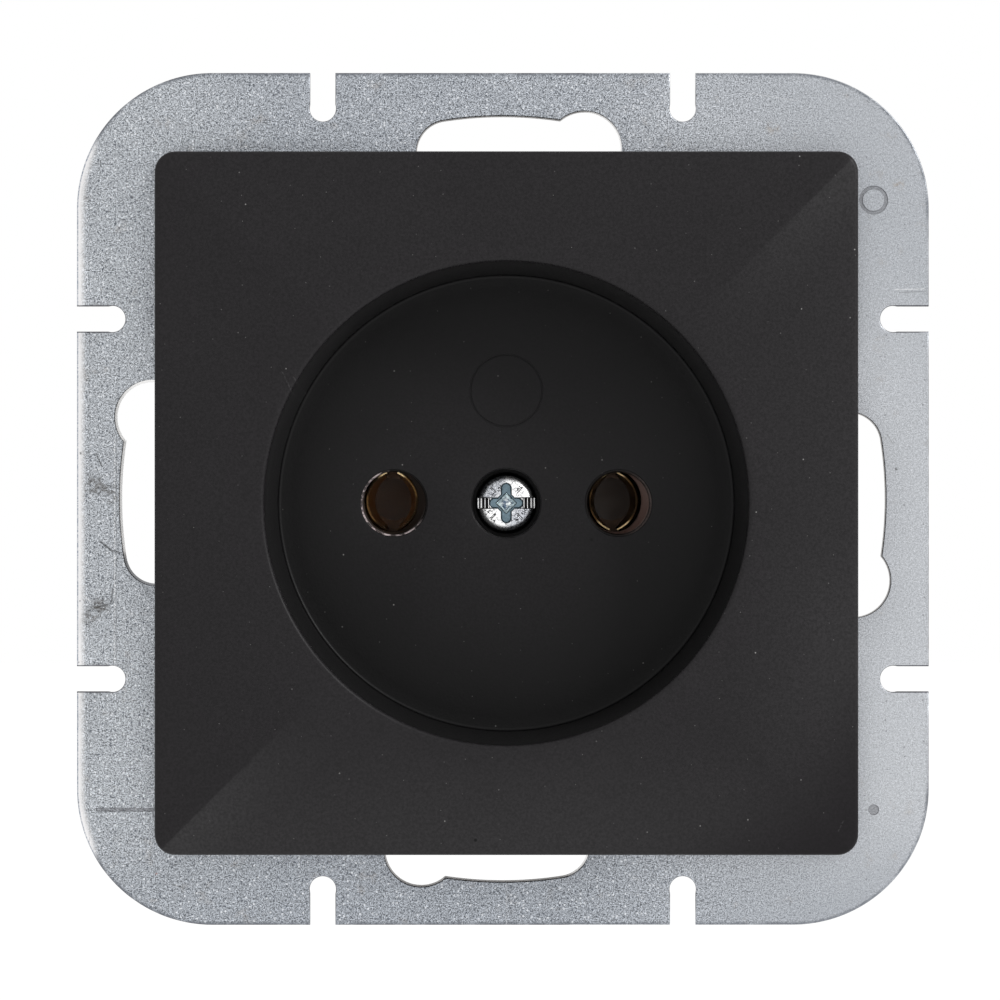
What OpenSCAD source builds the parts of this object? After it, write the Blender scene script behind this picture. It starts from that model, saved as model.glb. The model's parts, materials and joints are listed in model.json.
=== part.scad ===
// Flush-mounted two-pin wall socket, single, without earth. Millimetres.
// Modules are drawn with x to the right, y up and z out of the wall, where z = 0 is the wall
// plane: the rear face of the support plate. in_row_frame() then turns them, so that in the
// part's own frame +X is right, +Z is up and the front looks along -Y. The origin is the
// centre of the support plate's rear face.

/* [Support plate] */
// Side of the square steel support plate
plate_size = 71; // [68:0.5:76]
// Thickness of the plate's steel sheet
plate_thickness = 1; // [0.8:0.1:1.4]
// Corner radius of the plate
plate_corner_r = 11.3; // [6:0.1:13]
// Width of the short slots in the plate's edges
edge_slot_width = 2.1; // [1.4:0.05:2.2]
// Length of those slots, in from the edge
edge_slot_depth = 4.05; // [3:0.05:4.4]
// Distance between the two slots on one side
edge_slot_pitch = 30; // [26:0.5:34]
// Radius of each slot's round end
edge_slot_end_r = 1.1; // [1.1:0.05:1.3]
// Depth of the small punched marks
mark_depth = 0.12; // [0.05:0.01:0.3]
// Width of the grooves in the punched marks
mark_line = 0.3; // [0.2:0.05:0.4]
// Outer radius of the ring mark
mark_ring_r = 1.05; // [0.8:0.05:1.3]
// Length of the long bar mark
mark_bar_length = 6; // [3:0.5:8]
// Distance from the plate's sides to the middle of the marks
mark_side_inset = 4.6; // [4:0.1:5]
// Distance from the plate's top to the middle of the ring mark
mark_top_inset = 10.6; // [10:0.1:11.5]
// Distance from the plate's bottom to the middle of the other marks
mark_bottom_inset = 9.6; // [9:0.1:10.5]

/* [Keyholes for the wall box screws] */
// Diameter of the circle that the wall box screws lie on
box_screw_circle_d = 60; // [59:0.1:61]
// Width of the curved slots
keyhole_slot_width = 3.85; // [3.2:0.05:4.2]
// Diameter of the round end that lets a screw head through
keyhole_head_d = 6.2; // [6:0.05:6.6]
// Radius of the outer corner at the slot's far end
keyhole_end_r = 2.7; // [2.2:0.1:3]
// Angle from the plate's axis to the slot's far end
keyhole_slot_angle = 8.9; // [7:0.1:12]
// Angle from the plate's axis to the round end
keyhole_head_angle = 13.1; // [12:0.1:15]

/* [Cover] */
// Side of the square cover
cover_size = 58; // [57:0.1:59]
// Corner radius of the cover
cover_corner_r = 1.7; // [1:0.1:3]
// Bevel between the cover's faces and its sides
cover_edge_bevel = 0.35; // [0.2:0.05:0.6]
// Height of the cover's outer edge above the wall plane
cover_edge_height = 6.8; // [6:0.1:9]
// Rise of the arched faces from the outer edge to the centre
cover_crown = 1.7; // [1:0.1:2.5]
// Thickness of the cover's front
cover_front_thickness = 2; // [1.6:0.1:2.4]
// Thickness of the cover's outer wall
cover_wall = 1.8; // [1.4:0.1:2.2]
// Gap between the cover's outer wall and the support plate
cover_gap = 0.2; // [0.1:0.05:0.4]
// Distance that the cover and its screw sit to the right of the plate's centre
cover_shift_x = 0.3; // [-0.4:0.05:0.4]
// Distance that they sit above it
cover_shift_y = -0.35; // [-0.4:0.05:0.4]
// Room for the cover to shift each way on the housing
cover_play = 0.6; // [0.6:0.05:0.8]
// Thickness of the ribs behind the front
rib_thickness = 1.2; // [0.8:0.1:1.6]
// Depth of the ribs below the front's underside, at the outer wall
rib_depth = 1.6; // [0.8:0.1:1.8]
// Distance from the cover's centre line to each rib
rib_offset = 9; // [6:0.5:12]

/* [Plug well] */
// Diameter of the well at its rim
well_rim_d = 39.8; // [39.4:0.05:40]
// Draft of the well's wall: the distance that it leans in from the rim to the floor
well_draft = 0.575; // [0.4:0.025:0.8]
// Depth of the well's floor behind the wall plane
floor_depth = 6; // [5:0.5:8]
// Thickness of the well's floor
floor_thickness = 2; // [1.6:0.1:2.4]
// Thickness of the well's wall at its rim
well_wall = 1.4; // [1.2:0.1:1.6]
// Diameter of the faint ring above the screw
ring_mark_d = 6.05; // [5:0.05:7]
// Distance from the screw to the centre of that ring
ring_mark_offset = 9.5; // [8.5:0.1:11]
// Width of the ring's groove
ring_mark_width = 0.16; // [0.1:0.02:0.3]
// Depth of the ring's groove
ring_mark_depth = 0.1; // [0.05:0.01:0.2]

/* [Pins and contacts] */
// Distance between the two pins
pin_pitch = 19; // [18.8:0.1:19.2]
// Diameter of the pin holes in the cover
pin_hole_d = 5.6; // [5.2:0.1:5.8]
// Diameter of the pin holes in the housing
housing_pin_hole_d = 6.2; // [6:0.1:6.6]
// Length of the plug's pins
pin_length = 19; // [19:0.5:20]
// Room between the tip of a pin and the contact's base
pin_tip_room = 0.4; // [0.2:0.1:1]
// Depth from the housing's front to the front edge of the leaves
leaf_setback = 2; // [2:0.1:4]
// Thickness of the contact sheet
contact_sheet = 0.4; // [0.3:0.05:0.6]
// Distance between the two leaves where they are furthest apart
leaf_gap = 4.1; // [3.8:0.05:4.3]
// Inner radius of each leaf's curve
leaf_r = 2.9; // [2.7:0.05:3.1]
// Half of the angle that each leaf covers
leaf_half_angle = 60; // [50:1:62]
// Width of the contact's base strip
strip_width = 6.2; // [6:0.1:6.6]
// Room between the leaves and the walls of their chamber
chamber_room = 1.1; // [0.6:0.1:1.2]

/* [Terminals] */
// Side of the square terminal blocks
terminal_size = 7.6; // [7:0.1:8]
// Length of the terminal blocks, front to back
terminal_length = 9; // [7:0.5:11]
// Distance from the plate's centre line to the terminals, up and down
terminal_offset = 12.7; // [12:0.1:14]
// Diameter of the wire holes in the blocks
wire_hole_d = 3; // [2.6:0.1:3.4]
// Depth of the wire holes' funnels
wire_lead_in = 0.6; // [0.3:0.1:1]
// Diameter of the terminal screws
terminal_screw_d = 3.5; // [3:0.1:3.5]
// Diameter of the terminal screws' heads
terminal_head_d = 5; // [4.6:0.1:5.4]
// Height of those heads
terminal_head_height = 1.6; // [1.2:0.1:2]
// Gap between the heads and the blocks, with no wire in place
terminal_screw_gap = 0.5; // [0.1:0.1:0.8]
// Room round each block in its pocket
pocket_room = 0.2; // [0.1:0.05:0.3]

/* [Housing] */
// Wall of the collar that stands round the plug well
collar_wall = 2; // [1.6:0.1:2.4]
// Thickness of the housing's front wall
housing_front = 2; // [1.6:0.1:2.4]
// Thickness of the housing's outer walls
housing_wall = 1.6; // [1.4:0.1:2.4]
// Corner radius of the housing's box
housing_corner_r = 4; // [3.5:0.5:4.5]
// Diameter of the holes through which the terminal screws are turned
driver_hole_d = 4.6; // [4:0.1:4.8]
// Thickness of the gussets between the collar and the box
gusset_thickness = 1.6; // [1.2:0.1:2]
// Depth of the gussets, front to back
gusset_depth = 7; // [4:0.5:10]
// Distance between the two gussets on one side
gusset_pitch = 18; // [14:1:20]
// Distance from the collar's outside to the gussets' outer ends
gusset_inset = 3; // [2:0.5:4]

/* [Rear cap] */
// Thickness of the rear cap
cap_thickness = 2.4; // [2.2:0.1:3]
// Diameter of the wire entries in the cap
wire_entry_d = 4.2; // [3.8:0.1:4.6]
// Diameter of the wire entries' funnels at the cap's outside
wire_funnel_d = 6.2; // [5.6:0.1:6.6]
// Depth of those funnels
wire_funnel_depth = 1.2; // [0.6:0.1:1.4]
// Room between the nut and the post that keeps it in place
nut_post_gap = 0.4; // [0.2:0.1:1]

/* [Fasteners] */
// Diameter of the cover screw
cover_screw_d = 3; // [2.8:0.1:3.2]
// Length of the cover screw under its head
cover_screw_length = 12; // [11:0.5:14]
// Diameter of the cover screw's head
cover_head_d = 5.2; // [5:0.05:5.4]
// Height of the cover screw's head
cover_head_height = 1.95; // [1.6:0.05:2]
// Rounding of the cover screw's head
cover_head_r = 1.1; // [0.8:0.05:1.3]
// Diameter of the screw's recess in the well's floor
screw_well_d = 5.8; // [5.6:0.05:6]
// Depth of that recess
screw_well_depth = 2.6; // [2.2:0.1:3]
// Wall of the boss behind that recess
screw_boss_wall = 1.2; // [1:0.1:1.4]
// Floor of that boss
screw_boss_floor = 2; // [1.5:0.1:2.5]
// Width of the cover screw's slot
slot_width = 0.9; // [0.7:0.05:1]
// Depth of that slot
slot_depth = 0.6; // [0.4:0.05:0.8]
// Width of the arms of the cross recess
cross_width = 0.75; // [0.6:0.05:0.9]
// Length of the cross recess, tip to tip
cross_length = 3.4; // [3:0.1:3.8]
// Depth of the cross recess
cross_depth = 1.1; // [0.8:0.05:1.3]
// Side of the square socket at the middle of the cross
cross_core = 1.6; // [1.3:0.05:1.8]
// Side of the cover nut
nut_size = 5.5; // [5.2:0.1:5.7]
// Thickness of the cover nut
nut_thickness = 1.8; // [1.6:0.1:2.4]
// Distance from the boss's seat to the front of the nut
nut_depth = 3; // [2:0.5:4]
// Diameter of the rivets between plate and housing
rivet_d = 2.4; // [2:0.1:2.8]
// Diameter of the rivet heads
rivet_head_d = 4.4; // [4:0.1:4.8]
// Height of the rivet heads
rivet_head_height = 0.9; // [0.7:0.05:1]
// Length of the rivets in the housing
rivet_depth = 6; // [4:0.5:7]
// Wall of the bosses round the rivets
rivet_boss_wall = 1.6; // [1.5:0.1:1.8]
// Distance from the edge of the plate's window to each rivet's centre
rivet_inset = 2.4; // [2.2:0.05:2.5]
// Diameter of the screws that hold the rear cap
cap_screw_d = 2.9; // [2.6:0.1:3.1]
// Length of those screws in the housing
cap_screw_depth = 8; // [6:0.5:9]
// Diameter of the cap screws' heads
cap_head_d = 5.2; // [5:0.1:5.4]
// Height of the cap screws' heads
cap_head_height = 1.7; // [1.4:0.1:2]
// Depth that the cap screws' heads sink into the cap
cap_head_sink = 1.1; // [0.8:0.1:1.3]
// Distance from the plate's centre line to the cap screws and to the cover's pegs
cap_screw_offset = 13; // [12:0.5:14]
// Diameter of the pegs that keep the cover square
peg_d = 3; // [2.6:0.1:3.2]
// Length of those pegs
peg_length = 2.2; // [1.8:0.1:2.4]
// Clearance of a screw or rivet in its hole
thread_clearance = 0.02; // [0.01:0.01:0.05]
// Clearance of a screw's head or shank in a plain hole
hole_clearance = 0.2; // [0.1:0.05:0.3]

/* [Hidden] */
$fn = 96;
overlap = 1; // how far a cutter runs past the face that it cuts

well_floor_r = well_rim_d / 2 - well_draft;
window_r = well_rim_d / 2 + well_wall + cover_play + hole_clearance;
plate_front = plate_thickness;
rivet_boss_r = rivet_d / 2 + rivet_boss_wall;
rivet_circle_r = window_r + rivet_inset;
rivet_boss_back = -rivet_depth - housing_wall;

cover_bottom = plate_front + cover_gap;
arch_r = (pow(cover_size / 2, 2) + pow(cover_crown, 2)) / (2 * cover_crown);
arch_centre = cover_edge_height + cover_crown - arch_r;
well_outer_r = well_rim_d / 2 + well_wall;
well_rim_height = cover_edge_height + cover_crown * (1 - pow(well_rim_d / cover_size, 2));
floor_front = -floor_depth;
floor_back = floor_front - floor_thickness;
screw_seat = floor_front - screw_well_depth;
boss_r = screw_well_d / 2 + screw_boss_wall;
boss_back = screw_seat - screw_boss_floor;

pole_x = pin_pitch / 2;
contact_base = floor_front - pin_length - pin_tip_room;
housing_back = contact_base - contact_sheet;
housing_front_back = floor_back - housing_front;
leaf_front = floor_back - leaf_setback;
leaf_reach = leaf_gap / 2 + contact_sheet;
chamber_half = leaf_reach + chamber_room;
collar_r = window_r + collar_wall;

terminal_top = terminal_offset + terminal_size / 2;
head_top = terminal_top + terminal_screw_gap + terminal_head_height;
box_half_x = pole_x + terminal_size / 2 + pocket_room + housing_wall;
box_half_y = head_top + pocket_room + housing_wall;
terminal_front = contact_base + terminal_length;
terminal_screw_z = contact_base + terminal_length / 2;
cap_back = housing_back - cap_thickness;
boss_seat = boss_back - hole_clearance;
nut_front = boss_seat - nut_depth;
nut_pocket = nut_size + 2 * (cover_play + hole_clearance / 2);
screw_play_r = cover_screw_d / 2 + cover_play + hole_clearance / 2;
peg_hole_r = peg_d / 2 + cover_play + hole_clearance / 2;

steel = [0.71, 0.73, 0.76];
bright_steel = [0.8, 0.82, 0.85];
cover_black = [0.16, 0.16, 0.17];
housing_grey = [0.13, 0.12, 0.12];
brass = [0.78, 0.6, 0.3];

// Turns what is drawn facing the viewer into the part's own frame
module in_row_frame() {
    rotate([90, 0, 0]) children();
}

// Square or oblong with round corners
module rounded_rectangle(width, height, radius) {
    square([width, height - 2 * radius], center = true);
    square([width - 2 * radius, height], center = true);
    for (sx = [-1, 1], sy = [-1, 1])
        translate([sx * (width / 2 - radius), sy * (height / 2 - radius)])
            circle(r = radius);
}

// Everything within reach between two angles, for cutting a stretch out of a ring
module sector(from_angle, to_angle, reach) {
    polygon([
        [0, 0],
        [reach * cos(from_angle), reach * sin(from_angle)],
        [reach * cos(to_angle), reach * sin(to_angle)]
    ]);
}

// Stretch of a ring between two angles
module ring_stretch(inner_r, outer_r, from_angle, to_angle) {
    intersection() {
        difference() {
            circle(r = outer_r);
            circle(r = inner_r);
        }
        sector(from_angle, to_angle, 2.2 * outer_r);
    }
}

// A cylinder that runs from one z to a higher one
module column(radius, from_z, to_z) {
    translate([0, 0, from_z]) cylinder(r = radius, h = to_z - from_z);
}

// Places its children at one of the four diagonal rivet places
module at_rivet(index) {
    rotate(45 + 90 * index) translate([rivet_circle_r, 0, 0]) children();
}

// Places its children where the cover sits on the housing
module at_cover() {
    translate([cover_shift_x, cover_shift_y, 0]) children();
}

// Turned head with a rounded rim, standing on z = 0
module round_head(head_d, height, rounding) {
    rotate_extrude() {
        square([head_d / 2 - rounding, height]);
        square([head_d / 2, height - rounding]);
        intersection() {
            translate([head_d / 2 - rounding, height - rounding]) circle(r = rounding);
            square([head_d / 2, height]);
        }
    }
}

// One keyhole, at the top of the plate: a curved slot with a larger round end on its right
module keyhole() {
    inner_r = (box_screw_circle_d - keyhole_slot_width) / 2;
    outer_r = (box_screw_circle_d + keyhole_slot_width) / 2;
    slot_end = 90 + keyhole_slot_angle;
    head_end = 90 - keyhole_head_angle;
    ring_stretch(inner_r, outer_r, head_end, slot_end);
    difference() {
        rotate(slot_end) translate([outer_r - keyhole_end_r, 0]) circle(r = keyhole_end_r);
        circle(r = inner_r);
    }
    rotate(head_end) translate([box_screw_circle_d / 2, 0]) circle(d = keyhole_head_d);
}

// The two short slots in the plate's top edge
module edge_slots() {
    for (sx = [-1, 1]) translate([sx * edge_slot_pitch / 2, plate_size / 2]) {
        translate([-edge_slot_width / 2, edge_slot_end_r - edge_slot_depth])
            square([edge_slot_width, edge_slot_depth]);
        translate([0, edge_slot_end_r - edge_slot_depth]) circle(r = edge_slot_end_r);
    }
}

// Plain punched marks: a ring and a dot near the right edge, a bar at the lower left
module punched_marks() {
    mark_x = plate_size / 2 - mark_side_inset;
    mark_low = mark_bottom_inset - plate_size / 2;
    translate([mark_x, plate_size / 2 - mark_top_inset]) difference() {
        circle(r = mark_ring_r);
        circle(r = mark_ring_r - mark_line);
    }
    translate([mark_x, mark_low]) circle(r = 1.5 * mark_line);
    translate([-mark_x, mark_low]) square([mark_bar_length, mark_line], center = true);
}

module support_plate() {
    color(steel) in_row_frame() difference() {
        linear_extrude(plate_thickness) difference() {
            rounded_rectangle(plate_size, plate_size, plate_corner_r);
            circle(r = window_r);
            for (side = [0:3]) rotate(90 * side) {
                keyhole();
                edge_slots();
                rotate(45) translate([rivet_circle_r, 0]) circle(r = rivet_d / 2 + thread_clearance);
            }
        }
        translate([0, 0, plate_front - mark_depth]) linear_extrude(overlap) punched_marks();
    }
}

module plate_rivet(index) {
    color(bright_steel) in_row_frame() at_rivet(index) {
        column(rivet_d / 2, -rivet_depth, plate_front);
        translate([0, 0, plate_front]) round_head(rivet_head_d, rivet_head_height, 0.8 * rivet_head_height);
    }
}

// Section of the arched front: level along its length, with bevelled outer edges. It is wider
// than the cover, so that only its top and its bevels reach the cover's own outline.
module arch_section(lowest) {
    wide = cover_size / 2 + overlap;
    bevel_low = cover_edge_height - cover_edge_bevel - overlap;
    bevel_high = cover_edge_height + cover_crown;
    bevel_end = cover_size / 2 - cover_edge_bevel - cover_crown;
    intersection() {
        translate([0, arch_centre]) circle(r = arch_r, $fn = 720);
        polygon([
            [-wide, lowest], [wide, lowest], [wide, bevel_low],
            [bevel_end, bevel_high], [-bevel_end, bevel_high], [-wide, bevel_low]
        ]);
    }
}

// The space under the arched front, down to a given depth: two arches that cross
module under_arches(lowest) {
    intersection_for(turn = [0, 90])
        rotate(turn) rotate([90, 0, 0])
            linear_extrude(cover_size + 2 * overlap, center = true) arch_section(lowest);
}

// Ribs that tie the well's wall to the cover's outer wall
module cover_ribs() {
    rib_bottom = cover_edge_height - cover_front_thickness - rib_depth;
    for (turn = [0, 90, 180, 270], side = [-1, 1]) rotate(turn)
        translate([well_rim_d / 2 - rib_thickness, side * rib_offset - rib_thickness / 2, rib_bottom])
            cube([cover_size / 2 - cover_wall - well_rim_d / 2 + 2 * rib_thickness, rib_thickness,
                cover_front_thickness + rib_depth]);
}

// The hollow inside the cover's outer wall and under its front
module cover_hollow() {
    intersection() {
        translate([0, 0, cover_bottom - overlap]) linear_extrude(cover_edge_height + cover_crown)
            rounded_rectangle(cover_size - 2 * cover_wall, cover_size - 2 * cover_wall, cover_corner_r);
        translate([0, 0, -cover_front_thickness]) under_arches(floor_back);
    }
}

// The cover before its well and holes are cut
module cover_blank() {
    difference() {
        intersection() {
            translate([0, 0, cover_bottom]) linear_extrude(cover_edge_height + cover_crown)
                rounded_rectangle(cover_size, cover_size, cover_corner_r);
            under_arches(cover_bottom - overlap);
        }
        cover_hollow();
    }
    intersection() {
        union() {
            cover_ribs();
            column(well_outer_r, floor_back, cover_edge_height + cover_crown);
        }
        under_arches(floor_back - overlap);
    }
    column(boss_r, boss_back, floor_back + overlap / 2);
    for (sy = [-1, 1]) translate([0, sy * cap_screw_offset, 0])
        column(peg_d / 2, floor_back - peg_length, floor_back + overlap / 2);
}

module cover() {
    rim_flare = well_draft / (well_rim_height - floor_front);
    well_cut = cover_edge_height + cover_crown + overlap - floor_front;
    color(cover_black) in_row_frame() at_cover() difference() {
        cover_blank();
        translate([0, 0, floor_front])
            cylinder(r1 = well_floor_r, r2 = well_floor_r + rim_flare * well_cut, h = well_cut, $fn = 192);
        for (sx = [-1, 1]) translate([sx * pole_x, 0, 0])
            column(pin_hole_d / 2, floor_back - overlap, floor_front + overlap);
        column(screw_well_d / 2, screw_seat, floor_front + overlap);
        column(cover_screw_d / 2 + hole_clearance, boss_back - overlap, screw_seat + overlap);
        translate([0, ring_mark_offset, floor_front - ring_mark_depth]) difference() {
            cylinder(d = ring_mark_d + ring_mark_width, h = overlap);
            translate([0, 0, -overlap])
                cylinder(d = ring_mark_d - ring_mark_width, h = 3 * overlap);
        }
    }
}

// Slot, cross and socket in the cover screw's head, cut down from z = 0
module driver_recess() {
    translate([-cover_head_d, -slot_width / 2, -slot_depth]) cube([2 * cover_head_d, slot_width, 2]);
    for (turn = [0, 90]) rotate(turn)
        translate([-cross_length / 2, -cross_width / 2, -cross_depth])
            cube([cross_length, cross_width, 2]);
    rotate(45) translate([-cross_core / 2, -cross_core / 2, -cross_depth])
        cube([cross_core, cross_core, 2]);
}

module cover_screw() {
    color(bright_steel) in_row_frame() at_cover() translate([0, 0, screw_seat]) {
        column(cover_screw_d / 2, -cover_screw_length, 0);
        difference() {
            round_head(cover_head_d, cover_head_height, cover_head_r);
            translate([0, 0, cover_head_height]) driver_recess();
        }
    }
}

module cover_nut() {
    color(bright_steel) in_row_frame() at_cover() translate([0, 0, nut_front - nut_thickness])
        difference() {
            translate([-nut_size / 2, -nut_size / 2, 0]) cube([nut_size, nut_size, nut_thickness]);
            column(cover_screw_d / 2 + thread_clearance, -overlap, nut_thickness + overlap);
        }
}

// Gussets between the collar's ledge and the sides of the housing's box
module gussets() {
    for (side = [0, 1], offset_y = [-gusset_pitch / 2, gusset_pitch / 2])
        mirror([side, 0, 0]) translate([0, offset_y + gusset_thickness / 2, housing_front_back])
            rotate([90, 0, 0]) linear_extrude(gusset_thickness)
                polygon([
                    [box_half_x - housing_wall / 2, housing_front / 2],
                    [collar_r - gusset_inset, housing_front / 2],
                    [collar_r - gusset_inset, 0],
                    [box_half_x - housing_wall / 2, -gusset_depth]
                ]);
}

// The pockets of one pole, on the right: leaves, base strip, two terminals and their screws
module pole_pockets() {
    block_room = terminal_size / 2 + pocket_room;
    head_room = terminal_head_d / 2 + pocket_room;
    translate([pole_x, 0, 0]) {
        translate([-chamber_half, -chamber_half, housing_back - overlap])
            cube([2 * chamber_half, 2 * chamber_half, housing_front_back - housing_back + overlap]);
        translate([-strip_width / 2 - pocket_room, -terminal_top - pocket_room, housing_back - overlap])
            cube([strip_width + 2 * pocket_room, 2 * (terminal_top + pocket_room), contact_sheet + overlap]);
        for (side = [0, 1]) mirror([0, side, 0]) {
            translate([-block_room, terminal_offset - block_room, housing_back - overlap])
                cube([2 * block_room, 2 * block_room, terminal_front + pocket_room - housing_back + overlap]);
            translate([-head_room, terminal_offset, housing_back - overlap])
                cube([
                    2 * head_room,
                    head_top + pocket_room - terminal_offset,
                    terminal_screw_z + head_room - housing_back + overlap
                ]);
            translate([0, box_half_y + overlap, terminal_screw_z]) rotate([90, 0, 0])
                cylinder(d = driver_hole_d, h = housing_wall + 2 * overlap);
        }
    }
}

module housing() {
    color(housing_grey) in_row_frame() difference() {
        union() {
            column(collar_r, housing_front_back, 0);
            for (index = [0:3]) at_rivet(index) column(rivet_boss_r, rivet_boss_back, 0);
            translate([0, 0, housing_back]) linear_extrude(floor_back - housing_back)
                rounded_rectangle(2 * box_half_x, 2 * box_half_y, housing_corner_r);
            gussets();
        }
        column(window_r, floor_back, overlap);
        for (index = [0:3]) at_rivet(index)
            column(rivet_d / 2 + thread_clearance, -rivet_depth - hole_clearance, overlap);
        for (side = [0, 1]) mirror([side, 0, 0]) {
            pole_pockets();
            translate([pole_x, 0, 0])
                column(housing_pin_hole_d / 2, housing_front_back - overlap, floor_back + overlap);
        }
        column(boss_r + cover_play + hole_clearance / 2, boss_seat, floor_back + overlap);
        column(screw_play_r, housing_back - overlap, boss_seat + overlap);
        translate([-nut_pocket / 2, -nut_pocket / 2, housing_back - overlap])
            cube([nut_pocket, nut_pocket, nut_front - housing_back + overlap]);
        for (sy = [-1, 1]) translate([0, sy * cap_screw_offset, 0]) {
            column(peg_hole_r, floor_back - peg_length - hole_clearance, floor_back + overlap);
            column(cap_screw_d / 2 + thread_clearance, housing_back - overlap,
                housing_back + cap_screw_depth + hole_clearance);
        }
    }
}

module rear_cap() {
    post_top = nut_front - nut_thickness - nut_post_gap;
    color(housing_grey) in_row_frame() difference() {
        union() {
            translate([0, 0, cap_back]) linear_extrude(cap_thickness)
                rounded_rectangle(2 * box_half_x, 2 * box_half_y, housing_corner_r);
            column(nut_pocket / 2 - hole_clearance, housing_back - overlap / 2, post_top);
        }
        column(screw_play_r, housing_back, post_top + overlap);
        for (sx = [-1, 1], sy = [-1, 1]) translate([sx * pole_x, sy * terminal_offset, 0]) {
            column(wire_entry_d / 2, cap_back - overlap, housing_back + overlap);
            translate([0, 0, cap_back])
                cylinder(d1 = wire_funnel_d, d2 = wire_entry_d, h = wire_funnel_depth);
        }
        for (sy = [-1, 1]) translate([0, sy * cap_screw_offset, 0]) {
            column(cap_screw_d / 2 + hole_clearance, cap_back - overlap, housing_back + overlap);
            column(cap_head_d / 2 + hole_clearance, cap_back - overlap, cap_back + cap_head_sink);
        }
    }
}

module cap_screw(sy) {
    head_seat = cap_back + cap_head_sink;
    color(bright_steel) in_row_frame() translate([0, sy * cap_screw_offset, head_seat]) {
        column(cap_screw_d / 2, 0, housing_back + cap_screw_depth - head_seat);
        mirror([0, 0, 1]) difference() {
            round_head(cap_head_d, cap_head_height, 0.5 * cap_head_height);
            translate([0, 0, cap_head_height]) for (turn = [0, 90]) rotate(turn)
                translate([-cross_length / 2, -cross_width / 2, -cross_depth])
                    cube([cross_length, cross_width, 2]);
        }
    }
}

// Two curved leaves that grip the pin, on the base strip that joins two terminals. The strip is
// open behind the pin's tip.
module contact(sx) {
    color(brass) in_row_frame() translate([sx * pole_x, 0, 0]) {
        translate([0, 0, contact_base - contact_sheet / 2])
            linear_extrude(leaf_front - contact_base + contact_sheet / 2)
                for (side = [0, 1]) mirror([side, 0]) translate([leaf_gap / 2 - leaf_r, 0])
                    ring_stretch(leaf_r, leaf_r + contact_sheet, -leaf_half_angle, leaf_half_angle);
        translate([0, 0, housing_back]) linear_extrude(contact_sheet) difference() {
            square([strip_width, 2 * terminal_top], center = true);
            circle(d = leaf_gap - 2 * hole_clearance);
            for (sy = [-1, 1]) translate([0, sy * terminal_offset]) circle(d = wire_entry_d);
        }
    }
}

module terminal_block(sx, sy) {
    color(brass) in_row_frame() translate([sx * pole_x, sy * terminal_offset, contact_base])
        difference() {
            translate([-terminal_size / 2, -terminal_size / 2, 0])
                cube([terminal_size, terminal_size, terminal_length]);
            column(wire_hole_d / 2, -overlap, terminal_length + overlap);
            cylinder(d1 = wire_entry_d, d2 = wire_hole_d, h = wire_lead_in);
            translate([0, 0, terminal_length / 2]) rotate([-90 * sy, 0, 0])
                cylinder(r = terminal_screw_d / 2 + thread_clearance, h = terminal_size);
        }
}

module terminal_screw(sx, sy) {
    shank_length = terminal_size / 2 - wire_hole_d / 2 + terminal_screw_gap;
    color(bright_steel) in_row_frame()
        translate([sx * pole_x, sy * (terminal_top + terminal_screw_gap), terminal_screw_z])
            rotate([-90 * sy, 0, 0]) {
                column(terminal_screw_d / 2, -shank_length, 0);
                difference() {
                    cylinder(d = terminal_head_d, h = terminal_head_height);
                    translate([-terminal_head_d, -slot_width / 2, terminal_head_height - slot_depth])
                        cube([2 * terminal_head_d, slot_width, 2]);
                }
            }
}

support_plate();
plate_rivet(0);  // plate_rivet_1
plate_rivet(1);  // plate_rivet_2
plate_rivet(2);  // plate_rivet_3
plate_rivet(3);  // plate_rivet_4
cover();
cover_screw();
cover_nut();
housing();
rear_cap();
cap_screw(1);  // cap_screw_top
cap_screw(-1);  // cap_screw_bottom
contact(-1);  // contact_left
contact(1);  // contact_right
terminal_block(-1, 1);  // terminal_block_left_top
terminal_block(-1, -1);  // terminal_block_left_bottom
terminal_block(1, 1);  // terminal_block_right_top
terminal_block(1, -1);  // terminal_block_right_bottom
terminal_screw(-1, 1);  // terminal_screw_left_top
terminal_screw(-1, -1);  // terminal_screw_left_bottom
terminal_screw(1, 1);  // terminal_screw_right_top
terminal_screw(1, -1);  // terminal_screw_right_bottom
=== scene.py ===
"""Looks for the wall socket: cover, plate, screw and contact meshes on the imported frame, their
materials, the camera and the light.

Lengths are in millimetres until point() turns them into Blender's metres. The meshes are drawn
like the part itself: x to the right, y up, and z out of the wall, measured from the wall plane.
Angles are in degrees where a name or a comment doesn't say otherwise.
"""

import json
import math

import bpy
import bmesh
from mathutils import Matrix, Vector, geometry


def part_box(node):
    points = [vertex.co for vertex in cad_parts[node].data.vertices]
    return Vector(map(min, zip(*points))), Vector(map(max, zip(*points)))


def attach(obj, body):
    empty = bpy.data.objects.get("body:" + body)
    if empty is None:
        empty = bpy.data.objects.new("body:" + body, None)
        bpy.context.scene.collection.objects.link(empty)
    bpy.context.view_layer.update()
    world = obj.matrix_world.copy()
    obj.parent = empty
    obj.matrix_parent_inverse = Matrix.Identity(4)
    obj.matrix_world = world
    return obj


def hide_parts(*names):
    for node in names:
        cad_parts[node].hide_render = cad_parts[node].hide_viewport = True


MM = 0.001

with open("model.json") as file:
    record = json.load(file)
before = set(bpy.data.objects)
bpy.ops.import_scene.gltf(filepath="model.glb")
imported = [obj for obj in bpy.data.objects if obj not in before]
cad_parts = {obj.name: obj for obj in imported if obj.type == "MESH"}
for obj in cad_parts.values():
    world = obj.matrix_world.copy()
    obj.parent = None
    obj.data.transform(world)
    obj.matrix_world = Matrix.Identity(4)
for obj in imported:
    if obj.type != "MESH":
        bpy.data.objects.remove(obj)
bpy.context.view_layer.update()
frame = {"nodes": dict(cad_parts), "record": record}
mounts = {mount["name"]: mount for mount in frame["record"]["mounts"]}


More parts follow.
